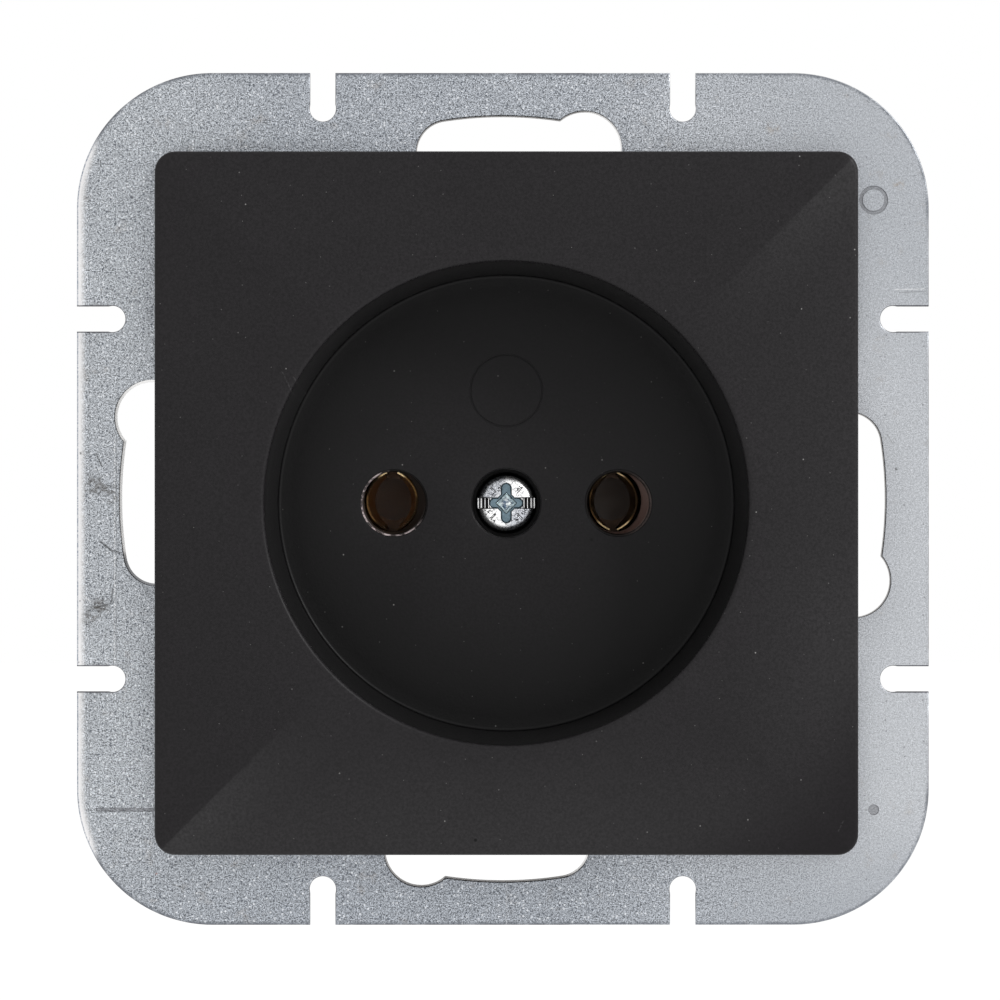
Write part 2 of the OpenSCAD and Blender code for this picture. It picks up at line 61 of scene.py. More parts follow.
def point(x, y, z):
    """A point drawn facing the viewer, in the part's own frame and in metres."""
    return Vector((x, -z, y)) * MM


def add_object(name, data):
    """Puts a mesh, a lamp or a camera into the scene as an object."""
    made = bpy.data.objects.new(name, data)
    bpy.context.collection.objects.link(made)
    return made


def extent(node):
    """The lowest and highest x, y and z of a CAD node, in millimetres, as the meshes are drawn."""
    low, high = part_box(node)
    lowest = Vector((low[0], low[2], -high[1])) / MM
    highest = Vector((high[0], high[2], -low[1])) / MM
    return lowest, highest


# The plate's sizes, as in the part's source
plate_high = extent("support_plate")[1]
PLATE_HALF = plate_high.x
PLATE_FRONT = plate_high.z
PLATE_CORNER = 11.3
WINDOW_R = 22.1
SCREW_CIRCLE_R = mounts["box_screws"]["dims"]["pcd_mm"] / 2
KEYHOLE_HEAD_R = mounts["box_screws"]["dims"]["hole_r_mm"]
KEYHOLE_SLOT_WIDTH = 3.85
KEYHOLE_SLOT_ANGLE = 8.9
KEYHOLE_END_R = 2.7
KEYHOLE_HEAD_ANGLE = 13.1
EDGE_SLOT_PITCH = 30
EDGE_SLOT_WIDTH = 2.1
EDGE_SLOT_DEPTH = 4.05
EDGE_SLOT_END_R = 1.1
RIVET_CIRCLE_R = 24.5
RIVET_HOLE_R = 1.22
MARK_SIDE_INSET = 4.6
MARK_TOP_INSET = 10.6
MARK_BOTTOM_INSET = 9.6
MARK_RING_R = 1.05
MARK_LINE = 0.3
MARK_BAR_LENGTH = 6
MARK_DEPTH = 0.12

# The cover's sizes, as in the part's source
cover_low, cover_high = extent("cover")
COVER_X = (cover_low.x + cover_high.x) / 2
COVER_Y = (cover_low.y + cover_high.y) / 2
COVER_HALF = (cover_high.x - cover_low.x) / 2
COVER_CORNER = 1.7
COVER_EDGE_HEIGHT = 6.8
COVER_CROWN = 1.7
COVER_FRONT = 2
COVER_WALL = 1.8
COVER_BOTTOM = 1.2
RIM_R = 19.9
WELL_WALL = 1.4
WELL_FLOOR_R = 19.325
FLOOR_FRONT = -6
FLOOR_BACK = -8
PIN_HOLE_R = mounts["pin_entry_left"]["dims"]["r_mm"]
PIN_X = (mounts["pin_entry_right"]["pos_m"][0] - mounts["pin_entry_left"]["pos_m"][0]) / 2 / MM
SCREW_WELL_R = 2.9
SCREW_SEAT = -8.6
SCREW_HOLE_R = 1.7
BOSS_R = 4.1
BOSS_BACK = cover_low.z
PEG_OFFSET = 13
PEG_R = 1.5
PEG_BACK = -10.2
RIB_OFFSET = 9
RIB_THICKNESS = 1.2
RIB_BOTTOM = 3.2
RING_MARK_R = 3.025
RING_MARK_OFFSET = 9.5
RING_MARK_WIDTH = 0.16
RING_MARK_DEPTH = 0.1

# The cover screw's sizes, as in the part's source
screw_low, screw_high = extent("cover_screw")
HEAD_R = (screw_high.x - screw_low.x) / 2
HEAD_TOP = screw_high.z
HEAD_ROUNDING = 1.1
SCREW_TIP = screw_low.z
SHANK_R = 1.5

# The contacts' sizes, as in the part's source
contact_low, contact_high = extent("contact_right")
LEAF_FRONT = contact_high.z
STRIP_BACK = contact_low.z
STRIP_HALF_WIDTH = (contact_high.x - contact_low.x) / 2
STRIP_HALF_LENGTH = contact_high.y
STRIP_X = (contact_low.x + contact_high.x) / 2
CONTACT_SHEET = 0.4
LEAF_GAP = 4.1
LEAF_R = 2.9
LEAF_HALF_ANGLE = 60
TIP_HOLE_R = 1.85
WIRE_ENTRY_R = mounts["wire_entry_left_top"]["dims"]["r_mm"]
WIRE_ENTRY_OFFSET = mounts["wire_entry_left_top"]["pos_m"][2] / MM

# Fine forms of the plate that the photograph shows and the solids leave out
PLATE_EDGE_R = 0.09
PLATE_EDGE_LINE = 0.2
ROLL_START = 3
ROLL_WIDTH = 0.9
ROLL_DROP = 0.1
KEYHOLE_TAPERS = (0.06, 0.04, 0.1, 0.15)  # top, right, bottom and left keyhole
GROOVE_SLOPE = 0.03

# Fine forms of the cover
COVER_EDGE_R = 0.3
COVER_FOOT_BEVEL = 0.15
RIDGE_SOFTNESS = 0.2
RIM_FILLET = 0.4
WELL_TOP = COVER_EDGE_HEIGHT + 1
FLOOR_FILLET = 0.35
FLOOR_RING_R = 18
HOLE_EDGE_R = 0.15
HOLE_LIP_R = 0.1
BEAD_DEPTH = 0.15
BEAD_R = 0.13
RIGHT_BEAD_R = 0.2
RIB_START = RIM_R + 0.5
RIB_END = COVER_HALF - COVER_WALL + 0.3
RIB_TOP = COVER_EDGE_HEIGHT - COVER_FRONT + 0.4

# Fine forms of the screw's head; the reach of the core and the pit is |x| + |y|
DOME_FALL = 0.03
SLOT_HALF = 0.45
SLOT_DEPTH = 0.6
SLOT_RIB = 0.07
SLOT_RIB_PITCH = 0.3
SLOT_RIB_START = 1.3
CROSS_HALF = 0.42
CROSS_REACH = 1.68
CROSS_SIDE = 1.4
CROSS_DEPTH = 1.1
CORE_REACH = 1.13
PIT_REACH = 0.83
PIT_DEPTH = 0.3
PIT_RIM = 0.08
TICK_MIDDLE = 1.62
TICK_DEPTH = 0.1
TIP_BEVEL = 0.4

# Fine forms of the leaves, and of the edge of the housing's pin holes round them
LEAF_EDGE = 0.16
LEAF_EDGE_BEVEL = 0.03
LEAF_GRIND = 0.5
LEAF_TIP_ANGLE = 64
LEAF_SIDE_SHIFT = 0.08
LEAF_DROP = 0.18
LEAF_SQUEEZE = 0.91
RIGHT_LEAF_PINCH = 0.25
WAIST_GAP = 3.1
WAIST_ANGLE = 48
WAIST_DEPTH = 6
GUIDE_R = 3.15
GUIDE_FRONT = -8.5
GUIDE_LIP = -9.1
GUIDE_BACK = -9.6
GUIDE_HALF_WIDTH = 2.28
GUIDE_HALF_HEIGHT = 2.62

# How finely the meshes are divided, and limits for their flat outlines
COVER_STEPS = 720
ARCH_RINGS = 22
BACK_RINGS = 6
ROUNDING_STEPS = 6
PLATE_ROUNDING_STEPS = 4
HOLE_STEPS = 120
PEG_STEPS = 48
WINDOW_STEPS = 240
SIDE_STEPS = 12
HEAD_STEPS = 360
HEAD_RINGS = 76
LEAF_LEVELS = 16
LEAF_STEPS = 32
WELD_DISTANCE = 1e-7
LEAST_SPREAD = 0.4

# Camera, lamps and floor
CAMERA_LENS = 216
CAMERA_PLACE = (-0.23, -0.09, 500 + PLATE_FRONT)
LAMP_SIZE = 150
LAMPS = (("lamp_upper_right", (400, 260, 420), 1.7), ("lamp_lower_left", (-220, -430, 420), 1.4))
FLOOR_SIZE_M = 6
FLOOR_DROP = 60
FLOOR_LIFT = 0.5
SOFT_LIGHT = 0.6


class Shell:
    """A mesh that is put together from closed loops of points."""

    def __init__(self, name, middle_x=0, middle_y=0):
        self.name = name
        self.mesh = bmesh.new()
        self.middle = (middle_x, middle_y)

    def loop(self, points):
        """Adds a closed loop of (x, y, z) points and returns its vertices."""
        dx, dy = self.middle
        return [self.mesh.verts.new(point(x + dx, y + dy, z)) for x, y, z in points]

    def bridge(self, *loops):
        """Joins each loop with the next one, of as many points, by a band of quads."""
        for first, second in zip(loops, loops[1:]):
            for i in range(len(first)):
                self.mesh.faces.new((first[i - 1], first[i], second[i], second[i - 1]))

    def fill(self, *loops):
        """Fills the flat region that is inside an odd number of the given loops."""
        places, edges, rings = [], [], []
        for loop in loops:
            start, count = len(places), len(loop)
            rings.append([Vector((v.co.x / MM, v.co.z / MM)) for v in loop])
            places += rings[-1]
            edges += [(start + i, start + (i + 1) % count) for i in range(count)]
        corners = [v for loop in loops for v in loop]
        made = geometry.delaunay_2d_cdt(places, edges, [], 1, WELD_DISTANCE)
        out_places, _, faces, originals = made[:4]
        for face in faces:
            middle = sum((out_places[i] for i in face), Vector((0, 0))) / len(face)
            if sum(inside(middle, ring) for ring in rings) % 2:
                self.mesh.faces.new([corners[originals[i][0]] for i in face])

    def slab(self, outlines, low, high):
        """Adds a flat slab between two heights. Outlines inside the first one are its holes."""
        backs, fronts = ([self.loop(at_height(outline, height)) for outline in outlines]
                         for height in (low, high))
        for back, front in zip(backs, fronts):
            self.bridge(back, front)
        self.fill(*fronts)
        self.fill(*backs)

    def finish(self, material, sharp_angle=None):
        """Makes the object. Its faces are flat, or smooth up to edges sharper than an angle."""
        bmesh.ops.recalc_face_normals(self.mesh, faces=self.mesh.faces)
        data = bpy.data.meshes.new(self.name)
        self.mesh.to_mesh(data)
        self.mesh.free()
        data.materials.append(material)
        for face in data.polygons:
            face.use_smooth = sharp_angle is not None
        if sharp_angle is not None:
            data.set_sharp_from_angle(angle=math.radians(sharp_angle))
        return add_object(self.name, data)


def engrave(shell, outer, inner, top, depth):
    """Sinks a flat groove inside an outline, round an inner one if given. Returns its edges."""
    edges = [shell.loop(at_height(outer, top))]
    foot = [shell.loop(at_height(inset(outer, GROOVE_SLOPE), top - depth))]
    shell.bridge(edges[0], foot[0])
    if inner:
        edges.append(shell.loop(at_height(inner, top)))
        foot.append(shell.loop(at_height(inset(inner, -GROOVE_SLOPE), top - depth)))
        shell.bridge(edges[1], foot[1], foot[0])
    else:
        shell.fill(*foot)
    return edges


def inside(place, ring):
    """True if a place lies inside a closed ring of 2-D points."""
    within = False
    last = ring[-1]
    for here in ring:
        if (here.y > place.y) != (last.y > place.y):
            cross = last.x + (place.y - last.y) * (here.x - last.x) / (here.y - last.y)
            if place.x < cross:
                within = not within
        last = here
    return within


def on_circle(radius, angle):
    """The point on a circle about the middle at an angle."""
    turn = math.radians(angle)
    return (radius * math.cos(turn), radius * math.sin(turn))


def arc(centre, radius, from_angle, to_angle, steps):
    """Points along an arc, both ends included."""
    angles = [from_angle + (to_angle - from_angle) * i / steps for i in range(steps + 1)]
    return [(centre[0] + x, centre[1] + y) for x, y in (on_circle(radius, a) for a in angles)]


def circle(centre, radius, count):
    """Points round a circle, anticlockwise."""
    return arc(centre, radius, 0, 360 - 360 / count, count - 1)


def rectangle(x_ends, middle_y, half_height):
    """The corners of a rectangle, anticlockwise."""
    low, high = middle_y - half_height, middle_y + half_height
    return [(x_ends[0], low), (x_ends[1], low), (x_ends[1], high), (x_ends[0], high)]


def rounding(radius, steps=ROUNDING_STEPS):
    """Points of a rounded edge: how far each lies from one face, and from the other one."""
    turns = [math.pi / 2 * i / steps for i in range(steps + 1)]
    return [(radius * (1 - math.sin(turn)), radius * (1 - math.cos(turn))) for turn in turns]


def rounded_reach(angle, half, corner):
    """Distance from the middle of a rounded square to its outline, along a ray."""
    c, s = (abs(share) for share in on_circle(1, angle))
    straight = half / max(c, s)
    core = half - corner
    if min(c, s) * straight <= core:
        return straight
    along = core * (c + s)
    return along + math.sqrt(max(along * along - 2 * core * core + corner * corner, 0))


def inset(outline, distance):
    """Moves a closed outline to its left, which is inwards when it runs anticlockwise."""
    moved = []
    for i, corner in enumerate(outline):
        here = Vector(corner)
        first = (here - Vector(outline[i - 1])).normalized()
        second = (Vector(outline[(i + 1) % len(outline)]) - here).normalized()
        normal = Vector((-first.y - second.y, first.x + second.x)).normalized()
        spread = max(normal.dot(Vector((-first.y, first.x))), LEAST_SPREAD)
        moved.append((here.x + normal.x * distance / spread, here.y + normal.y * distance / spread))
    return moved


def at_height(outline, height):
    """Lifts a 2-D outline to a height."""
    return [(x, y, height) for x, y in outline]


# The cover

COVER_ANGLES = [360 / COVER_STEPS * i for i in range(COVER_STEPS)]


def arch_height(x, y):
    """Height of the cover's arched front, with the ridges between its four faces softened."""
    a, b = abs(x), abs(y)
    reach = (a + b + math.sqrt((a - b) ** 2 + RIDGE_SOFTNESS ** 2)) / 2
    return COVER_EDGE_HEIGHT + COVER_CROWN * (1 - (reach / COVER_HALF) ** 2)


def lift_ring(reaches, height=None, drop=0.0):
    """A ring in the cover, at one height or at a drop under the arched front."""
    places = [on_circle(reach, angle) for reach, angle in zip(reaches, COVER_ANGLES)]
    return [(x, y, arch_height(x, y) - drop if height is None else height) for x, y in places]


def cover_ring(share, from_r, offset, drop=0.0, half=COVER_HALF):
    """A ring on the arched front, between a circle (share 0) and the offset outline (share 1)."""
    outer = [rounded_reach(angle, half - offset, COVER_CORNER - offset) for angle in COVER_ANGLES]
    return lift_ring([from_r + share * (reach - from_r) for reach in outer], drop=drop)


def round_ring(radius, height=None, drop=0.0):
    """A circle in the cover, at one height or at a drop under the arched front."""
    return lift_ring([radius] * COVER_STEPS, height, drop)


def outline_ring(offset, height):
    """The cover's outline at one height, moved inwards by an offset."""
    outline = [rounded_reach(angle, COVER_HALF - offset, COVER_CORNER) for angle in COVER_ANGLES]
    return lift_ring(outline, height)


def cover_front_rings():
    """The cover's rings from its rear edge over the arched front and down to the well's floor."""
    side_top = COVER_EDGE_HEIGHT - COVER_BOTTOM - COVER_FOOT_BEVEL
    rings = [outline_ring(COVER_WALL, COVER_BOTTOM), outline_ring(COVER_FOOT_BEVEL, COVER_BOTTOM)]
    rings.append(cover_ring(1, 0, 0, side_top))
    rings += [cover_ring(1, 0, offset, drop) for drop, offset in rounding(COVER_EDGE_R)]
    rim_outer = RIM_R + RIM_FILLET
    rings += [cover_ring(1 - i / ARCH_RINGS, rim_outer, COVER_EDGE_R) for i in range(1, ARCH_RINGS)]
    rings += [round_ring(RIM_R + past, drop=drop) for past, drop in rounding(RIM_FILLET)]
    wall_foot = FLOOR_FRONT + FLOOR_FILLET
    for share in (0.15, 0.5, 0.85):
        reach = RIM_R + share * (WELL_FLOOR_R - RIM_R)
        rings.append(round_ring(reach, WELL_TOP + share * (wall_foot - WELL_TOP)))
    for lift, inward in rounding(FLOOR_FILLET):
        rings.append(round_ring(WELL_FLOOR_R - inward, FLOOR_FRONT + lift))
    rings.append(round_ring(FLOOR_RING_R, FLOOR_FRONT))
    return rings


def hole_loops(shell, x, radius, back, lip_r, bead_r):
    """Sinks a round hole into the well's floor. Returns its front and its rear edge."""
    lip = rounding(lip_r)[::2]
    profile = [(radius + past, FLOOR_FRONT - drop) for past, drop in lip]
    if bead_r:
        start = FLOOR_FRONT - lip_r - BEAD_DEPTH
        profile += [(radius - bead_r + past, start - drop) for past, drop in rounding(bead_r)]
    profile.append((profile[-1][0], back))
    loops = [shell.loop(at_height(circle((x, 0), reach, HOLE_STEPS), height))
             for reach, height in profile]
    shell.bridge(*loops)
    return loops[0], loops[-1]


def make_cover(material):
    """The black cover, with its rounded edges, ridges, rim and well."""
    shell = Shell("cover_moulding", COVER_X, COVER_Y)
    front = [shell.loop(ring) for ring in cover_front_rings()]
    shell.bridge(*front)

    left = hole_loops(shell, -PIN_X, PIN_HOLE_R, FLOOR_BACK, HOLE_LIP_R, BEAD_R)
    right = hole_loops(shell, PIN_X, PIN_HOLE_R, FLOOR_BACK, HOLE_LIP_R, RIGHT_BEAD_R)
    screw_well = hole_loops(shell, 0, SCREW_WELL_R, SCREW_SEAT, HOLE_EDGE_R, 0)
    mark_rs = [RING_MARK_R + side * RING_MARK_WIDTH / 2 for side in (1, -1)]
    ring_edges = [circle((0, RING_MARK_OFFSET), reach, HOLE_STEPS) for reach in mark_rs]
    ring_mark = engrave(shell, *ring_edges, FLOOR_FRONT, RING_MARK_DEPTH)
    shell.fill(front[-1], left[0], right[0], screw_well[0], *ring_mark)

    boss = [shell.loop(at_height(circle((0, 0), reach, HOLE_STEPS), height)) for reach, height in (
        (SCREW_HOLE_R, SCREW_SEAT), (SCREW_HOLE_R, BOSS_BACK),
        (BOSS_R, BOSS_BACK), (BOSS_R, FLOOR_BACK),
    )]
    shell.bridge(screw_well[1], *boss)
    back_holes = [left[1], right[1], boss[-1]]
    for side in (-1, 1):
        peg = circle((0, side * PEG_OFFSET), PEG_R, PEG_STEPS)
        peg_foot = shell.loop(at_height(peg, FLOOR_BACK))
        peg_tip = shell.loop(at_height(peg, PEG_BACK))
        shell.bridge(peg_tip, peg_foot)
        shell.fill(peg_tip)
        back_holes.append(peg_foot)

    outer_r = RIM_R + WELL_WALL
    back = [round_ring(outer_r, FLOOR_BACK), round_ring(outer_r, drop=COVER_FRONT)]
    for i in range(1, BACK_RINGS + 1):
        back.append(cover_ring(i / BACK_RINGS, outer_r, 0, COVER_FRONT, COVER_HALF - COVER_WALL))
    back = [shell.loop(ring) for ring in back]
    shell.bridge(*back, front[0])
    shell.fill(back[0], *back_holes)
    return shell.finish(material, sharp_angle=35)


def make_ribs(material):
    """The eight ribs behind the cover's front."""
    shell = Shell("cover_ribs", COVER_X, COVER_Y)
    for turn in range(4):
        for side in (-1, 1):
            corners = rectangle((RIB_START, RIB_END), side * RIB_OFFSET, RIB_THICKNESS / 2)
            for _ in range(turn):
                corners = [(-y, x) for x, y in corners]
            shell.slab([corners], RIB_BOTTOM, RIB_TOP)
    return shell.finish(material)


# The plate

def plate_outline():
    """The plate's outline with its eight edge slots, anticlockwise."""
    half = EDGE_SLOT_WIDTH / 2
    lean = math.degrees(math.asin(half / EDGE_SLOT_END_R))
    end_y = -PLATE_HALF + EDGE_SLOT_DEPTH - EDGE_SLOT_END_R
    join_y = end_y - EDGE_SLOT_END_R * math.cos(math.radians(lean))
    middle_y = (join_y - PLATE_HALF) / 2
    side = []
    for x in (-EDGE_SLOT_PITCH / 2, EDGE_SLOT_PITCH / 2):
        side += [(x - half, -PLATE_HALF), (x - half, middle_y)]
        side += arc((x, end_y), EDGE_SLOT_END_R, 270 - lean, lean - 90, 24)
        side += [(x + half, middle_y), (x + half, -PLATE_HALF)]
        if x < 0:
            step = (EDGE_SLOT_PITCH - 2 * half) / SIDE_STEPS
            side += [(x + half + step * i, -PLATE_HALF) for i in range(1, SIDE_STEPS)]
    core = PLATE_HALF - PLATE_CORNER
    side += arc((core, -core), PLATE_CORNER, -90, 0, 40)
    outline = []
    for _ in range(4):
        outline += side
        side = [(-y, x) for x, y in side]
    return outline


def keyhole_outline(turn):
    """One keyhole, clockwise. Turn 0 is the top one, with its round end on its right."""
    inner_r = SCREW_CIRCLE_R - KEYHOLE_SLOT_WIDTH / 2
    outer_r = SCREW_CIRCLE_R + KEYHOLE_SLOT_WIDTH / 2
    slot_end = 90 + KEYHOLE_SLOT_ANGLE + turn
    head_end = 90 - KEYHOLE_HEAD_ANGLE + turn
    head = on_circle(SCREW_CIRCLE_R, head_end)
    end_circle_r = outer_r - KEYHOLE_END_R
    end = on_circle(end_circle_r, slot_end)

    outer_cross = head_end + crossing(SCREW_CIRCLE_R, KEYHOLE_HEAD_R, outer_r)
    inner_cross = head_end + crossing(SCREW_CIRCLE_R, KEYHOLE_HEAD_R, inner_r)
    end_cross = slot_end + crossing(end_circle_r, KEYHOLE_END_R, inner_r)
    head_from = bearing(head, on_circle(outer_r, outer_cross))
    head_to = bearing(head, on_circle(inner_r, inner_cross))
    head_to -= 360 if head_to > head_from else 0
    end_from = bearing(end, on_circle(inner_r, end_cross))
    end_from += 360 if slot_end > end_from else 0

    outline = arc((0, 0), outer_r, slot_end, outer_cross, 24)
    outline += arc(head, KEYHOLE_HEAD_R, head_from, head_to, 48)[1:]
    outline += arc((0, 0), inner_r, inner_cross, end_cross, 24)[1:]
    outline += arc(end, KEYHOLE_END_R, end_from, slot_end, 28)[1:-1]
    return outline


def crossing(distance, radius, ring_r):
    """Angle from a circle's centre, at a distance, to where it crosses a ring about the middle."""
    cosine = (distance ** 2 + ring_r ** 2 - radius ** 2) / (2 * distance * ring_r)
    return math.degrees(math.acos(cosine))


def bearing(centre, place):
    """The angle at which a place lies from a centre."""
    return math.degrees(math.atan2(place[1] - centre[1], place[0] - centre[0]))


def plate_openings():
    """The outlines of the keyholes, the window and the rivet holes, each with its taper."""
    openings = [(keyhole_outline(-90 * i), taper) for i, taper in enumerate(KEYHOLE_TAPERS)]
    openings.append((circle((0, 0), WINDOW_R, WINDOW_STEPS)[::-1], 0))
    for i in range(4):
        centre = on_circle(RIVET_CIRCLE_R, 45 + 90 * i)
        openings.append((circle(centre, RIVET_HOLE_R, 48)[::-1], 0))
    return openings


def mark_outlines():
    """The plain ring, dot and bar on the plate: each an outer and, for the ring, an inner line."""
    side, top = PLATE_HALF - MARK_SIDE_INSET, PLATE_HALF - MARK_TOP_INSET
    bottom = MARK_BOTTOM_INSET - PLATE_HALF
    ring = [circle((side, top), MARK_RING_R + sign * MARK_LINE / 2, 64) for sign in (1, -1)]
    dot = circle((side, bottom), 1.5 * MARK_LINE, 32)
    reach = (MARK_BAR_LENGTH - MARK_LINE) / 2
    bar = arc((-side + reach, bottom), MARK_LINE / 2, -90, 90, 10)
    bar += arc((-side - reach, bottom), MARK_LINE / 2, 90, 270, 10)
    return ring, (dot, None), (bar, None)


def make_plate(material):
    """The steel plate: punched holes, rounded edges and a rolled left edge."""
    shell = Shell("zinc_plate")
    outer = plate_outline()
    edge = rounding(PLATE_EDGE_R, PLATE_ROUNDING_STEPS)
    fronts, backs = [], []
    for outline, taper in [(outer, 0)] + plate_openings():
        rings = [at_height(inset(outline, offset - taper), height) for offset, height in edge]
        for sunk, offset in edge:
            roll = ROLL_DROP if outline is outer else 0
            rings.append([(x, y, PLATE_FRONT - sunk - roll * roll_share(x))
                          for x, y in inset(outline, offset)])
        if outline is outer:
            rings.append(at_height(roll_line(outline), PLATE_FRONT))
        loops = [shell.loop(ring) for ring in rings]
        backs.append(loops[0])
        fronts.append(loops[-1])
        shell.bridge(*loops)
    for outer_line, inner_line in mark_outlines():
        fronts += engrave(shell, outer_line, inner_line, PLATE_FRONT, MARK_DEPTH)
    shell.fill(*fronts)
    shell.fill(*backs)
    return shell.finish(material, sharp_angle=50)


def roll_share(x):
    """0 where the plate is flat, rising to 1 at its left edge."""
    return max(0.0, min(1.0, (-x - PLATE_HALF + ROLL_START) / ROLL_START)) ** 2


def roll_line(outline):
    """The line on which the rolled edge starts: wide at the left, narrow elsewhere."""
    return [(near_x + roll_share(x) * (ROLL_WIDTH - PLATE_EDGE_LINE), near_y)
            for (x, _), (near_x, near_y) in zip(outline, inset(outline, PLATE_EDGE_LINE))]


# The cover screw

def fade(value, low, high):
    """Smooth step from 0 at low to 1 at high; low may be the larger one."""
    share = max(0.0, min(1.0, (value - low) / (high - low)))
    return share * share * (3 - 2 * share)


def head_height(x, y):
    """Height of the screw's head: a dome with a slot, a cross, a square pit and four ticks."""
    reach = math.hypot(x, y)
    ax, ay = abs(x), abs(y)
    flat_r = HEAD_R - HEAD_ROUNDING
    over = min(max(reach - flat_r, 0), HEAD_ROUNDING)
    height = HEAD_TOP - HEAD_ROUNDING + math.sqrt(HEAD_ROUNDING ** 2 - over ** 2)
    height -= DOME_FALL * min(reach / flat_r, 1) ** 2

    ribbed = fade(ax, SLOT_RIB_START, SLOT_RIB_START + 0.15)
    rib = SLOT_RIB * math.cos(2 * math.pi * ax / SLOT_RIB_PITCH) * ribbed
    slot = fade(ay, SLOT_HALF + 0.03, SLOT_HALF - 0.03)
    height += slot * (min(HEAD_TOP - SLOT_DEPTH + rib, height) - height)

    upright = math.hypot(ax, max(ay - (CROSS_REACH - CROSS_HALF), 0))
    level = math.hypot(max(ax - (CROSS_SIDE - CROSS_HALF), 0), ay)
    arms = fade(min(upright, level), CROSS_HALF + 0.04, CROSS_HALF - 0.06)
    core = fade(ax + ay, CORE_REACH + 0.05, CORE_REACH - 0.07)
    height += max(arms, core) * (min(HEAD_TOP - CROSS_DEPTH, height) - height)

    height += PIT_RIM * fade(abs(ax + ay - PIT_REACH), PIT_RIM, 0.0)
    height -= PIT_DEPTH * min(2 * max(0.0, 1 - (ax + ay) / PIT_REACH), 1)
    along, across = (ax + ay) / math.sqrt(2), abs(ax - ay) / math.sqrt(2)
    tick = fade(across, 0.09, 0.03) * fade(abs(along - TICK_MIDDLE), 0.36, 0.28)
    return height - TICK_DEPTH * tick


def make_screw(material):
    """The cover screw, with its head as a fine height field."""
    shell = Shell("cover_screw_head", COVER_X, COVER_Y)
    shares = [i / HEAD_RINGS for i in range(1, HEAD_RINGS - 1)] + [0.985, 0.996, 1]
    rings = [[(x, y, head_height(x, y)) for x, y in circle((0, 0), HEAD_R * share, HEAD_STEPS)]
             for share in shares]
    for reach, height in ((HEAD_R, SCREW_SEAT), (SHANK_R, SCREW_SEAT),
                          (SHANK_R, SCREW_TIP + TIP_BEVEL), (SHANK_R - TIP_BEVEL, SCREW_TIP)):
        rings.append(at_height(circle((0, 0), reach, HEAD_STEPS), height))
    loops = [shell.loop(ring) for ring in rings]
    shell.bridge(*loops)
    for ring, height in ((loops[0], head_height(0, 0)), (loops[-1], SCREW_TIP)):
        middle = shell.loop([(0, 0, height)])[0]
        for i in range(HEAD_STEPS):
            shell.mesh.faces.new((ring[i - 1], ring[i], middle))
    return shell.finish(material, sharp_angle=60)


# The brass contacts and the housing's edge round them

def leaf_section(side, gap, half_angle, sheet):
    """Section of a curved leaf: its inner face, then its outer face a sheet's thickness behind."""
    centre = (gap / 2 - LEAF_R, 0)
    outline = arc(centre, LEAF_R, half_angle, -half_angle, LEAF_STEPS)
    outline += arc(centre, LEAF_R + sheet, -half_angle, half_angle, LEAF_STEPS)
    return [(side * x, y * LEAF_SQUEEZE) for x, y in outline]


def leaf_levels(front_gap):
    """Height, gap, half angle and thickness of the leaves, from the strip to the front edge."""
    foot, shoulder = STRIP_BACK + CONTACT_SHEET / 2, LEAF_FRONT - LEAF_GRIND
    levels = []
    for i in range(LEAF_LEVELS + 1):
        height = foot + (shoulder - foot) * i / LEAF_LEVELS
        pinch = max(0.0, 1 - ((LEAF_FRONT - WAIST_DEPTH - height) / WAIST_DEPTH) ** 2) ** 2
        gap = front_gap - (front_gap - WAIST_GAP) * pinch
        half_angle = LEAF_HALF_ANGLE - (LEAF_HALF_ANGLE - WAIST_ANGLE) * pinch
        levels.append((height, gap, half_angle, CONTACT_SHEET))
    levels.append((LEAF_FRONT - LEAF_EDGE_BEVEL, front_gap, LEAF_TIP_ANGLE, LEAF_EDGE))
    levels.append((LEAF_FRONT, front_gap, LEAF_TIP_ANGLE, LEAF_EDGE - LEAF_EDGE_BEVEL))
    return levels


def make_contact(name, side, material):
    """One pole: a base strip with its holes, and two leaves with ground front edges."""
    shell = Shell(name, side * STRIP_X)
    outlines = [rectangle((-STRIP_HALF_WIDTH, STRIP_HALF_WIDTH), 0, STRIP_HALF_LENGTH),
                circle((0, 0), TIP_HOLE_R, 64)]
    outlines += [circle((0, turn * WIRE_ENTRY_OFFSET), WIRE_ENTRY_R, 64) for turn in (-1, 1)]
    shell.slab(outlines, STRIP_BACK, STRIP_BACK + CONTACT_SHEET)
    front_gap = LEAF_GAP - (RIGHT_LEAF_PINCH if side > 0 else 0)
    for turn in (-1, 1):
        loops = []
        for height, gap, angle, sheet in leaf_levels(front_gap):
            section = leaf_section(turn, gap, angle, sheet)
            shifted = [(x - side * LEAF_SIDE_SHIFT, y - LEAF_DROP) for x, y in section]
            loops.append(shell.loop(at_height(shifted, height)))
        shell.bridge(*loops)
        shell.fill(loops[0])
        shell.fill(loops[-1])
    return shell.finish(material, sharp_angle=30)


def make_guide(name, side, material):
    """The edge of the housing's pin hole: an oval lip round the leaves, seen through the cover."""
    shell = Shell(name, side * STRIP_X)
    outer = circle((0, 0), GUIDE_R, 96)
    oval = [(x * GUIDE_HALF_WIDTH / GUIDE_R, y * GUIDE_HALF_HEIGHT / GUIDE_R - LEAF_DROP)
            for x, y in outer]
    rings = ((outer, GUIDE_BACK), (outer, GUIDE_FRONT), (oval, GUIDE_LIP), (oval, GUIDE_BACK))
    loops = [shell.loop(at_height(ring, height)) for ring, height in rings]
    shell.bridge(*loops, loops[0])
    return shell.finish(material, sharp_angle=30)


# Materials

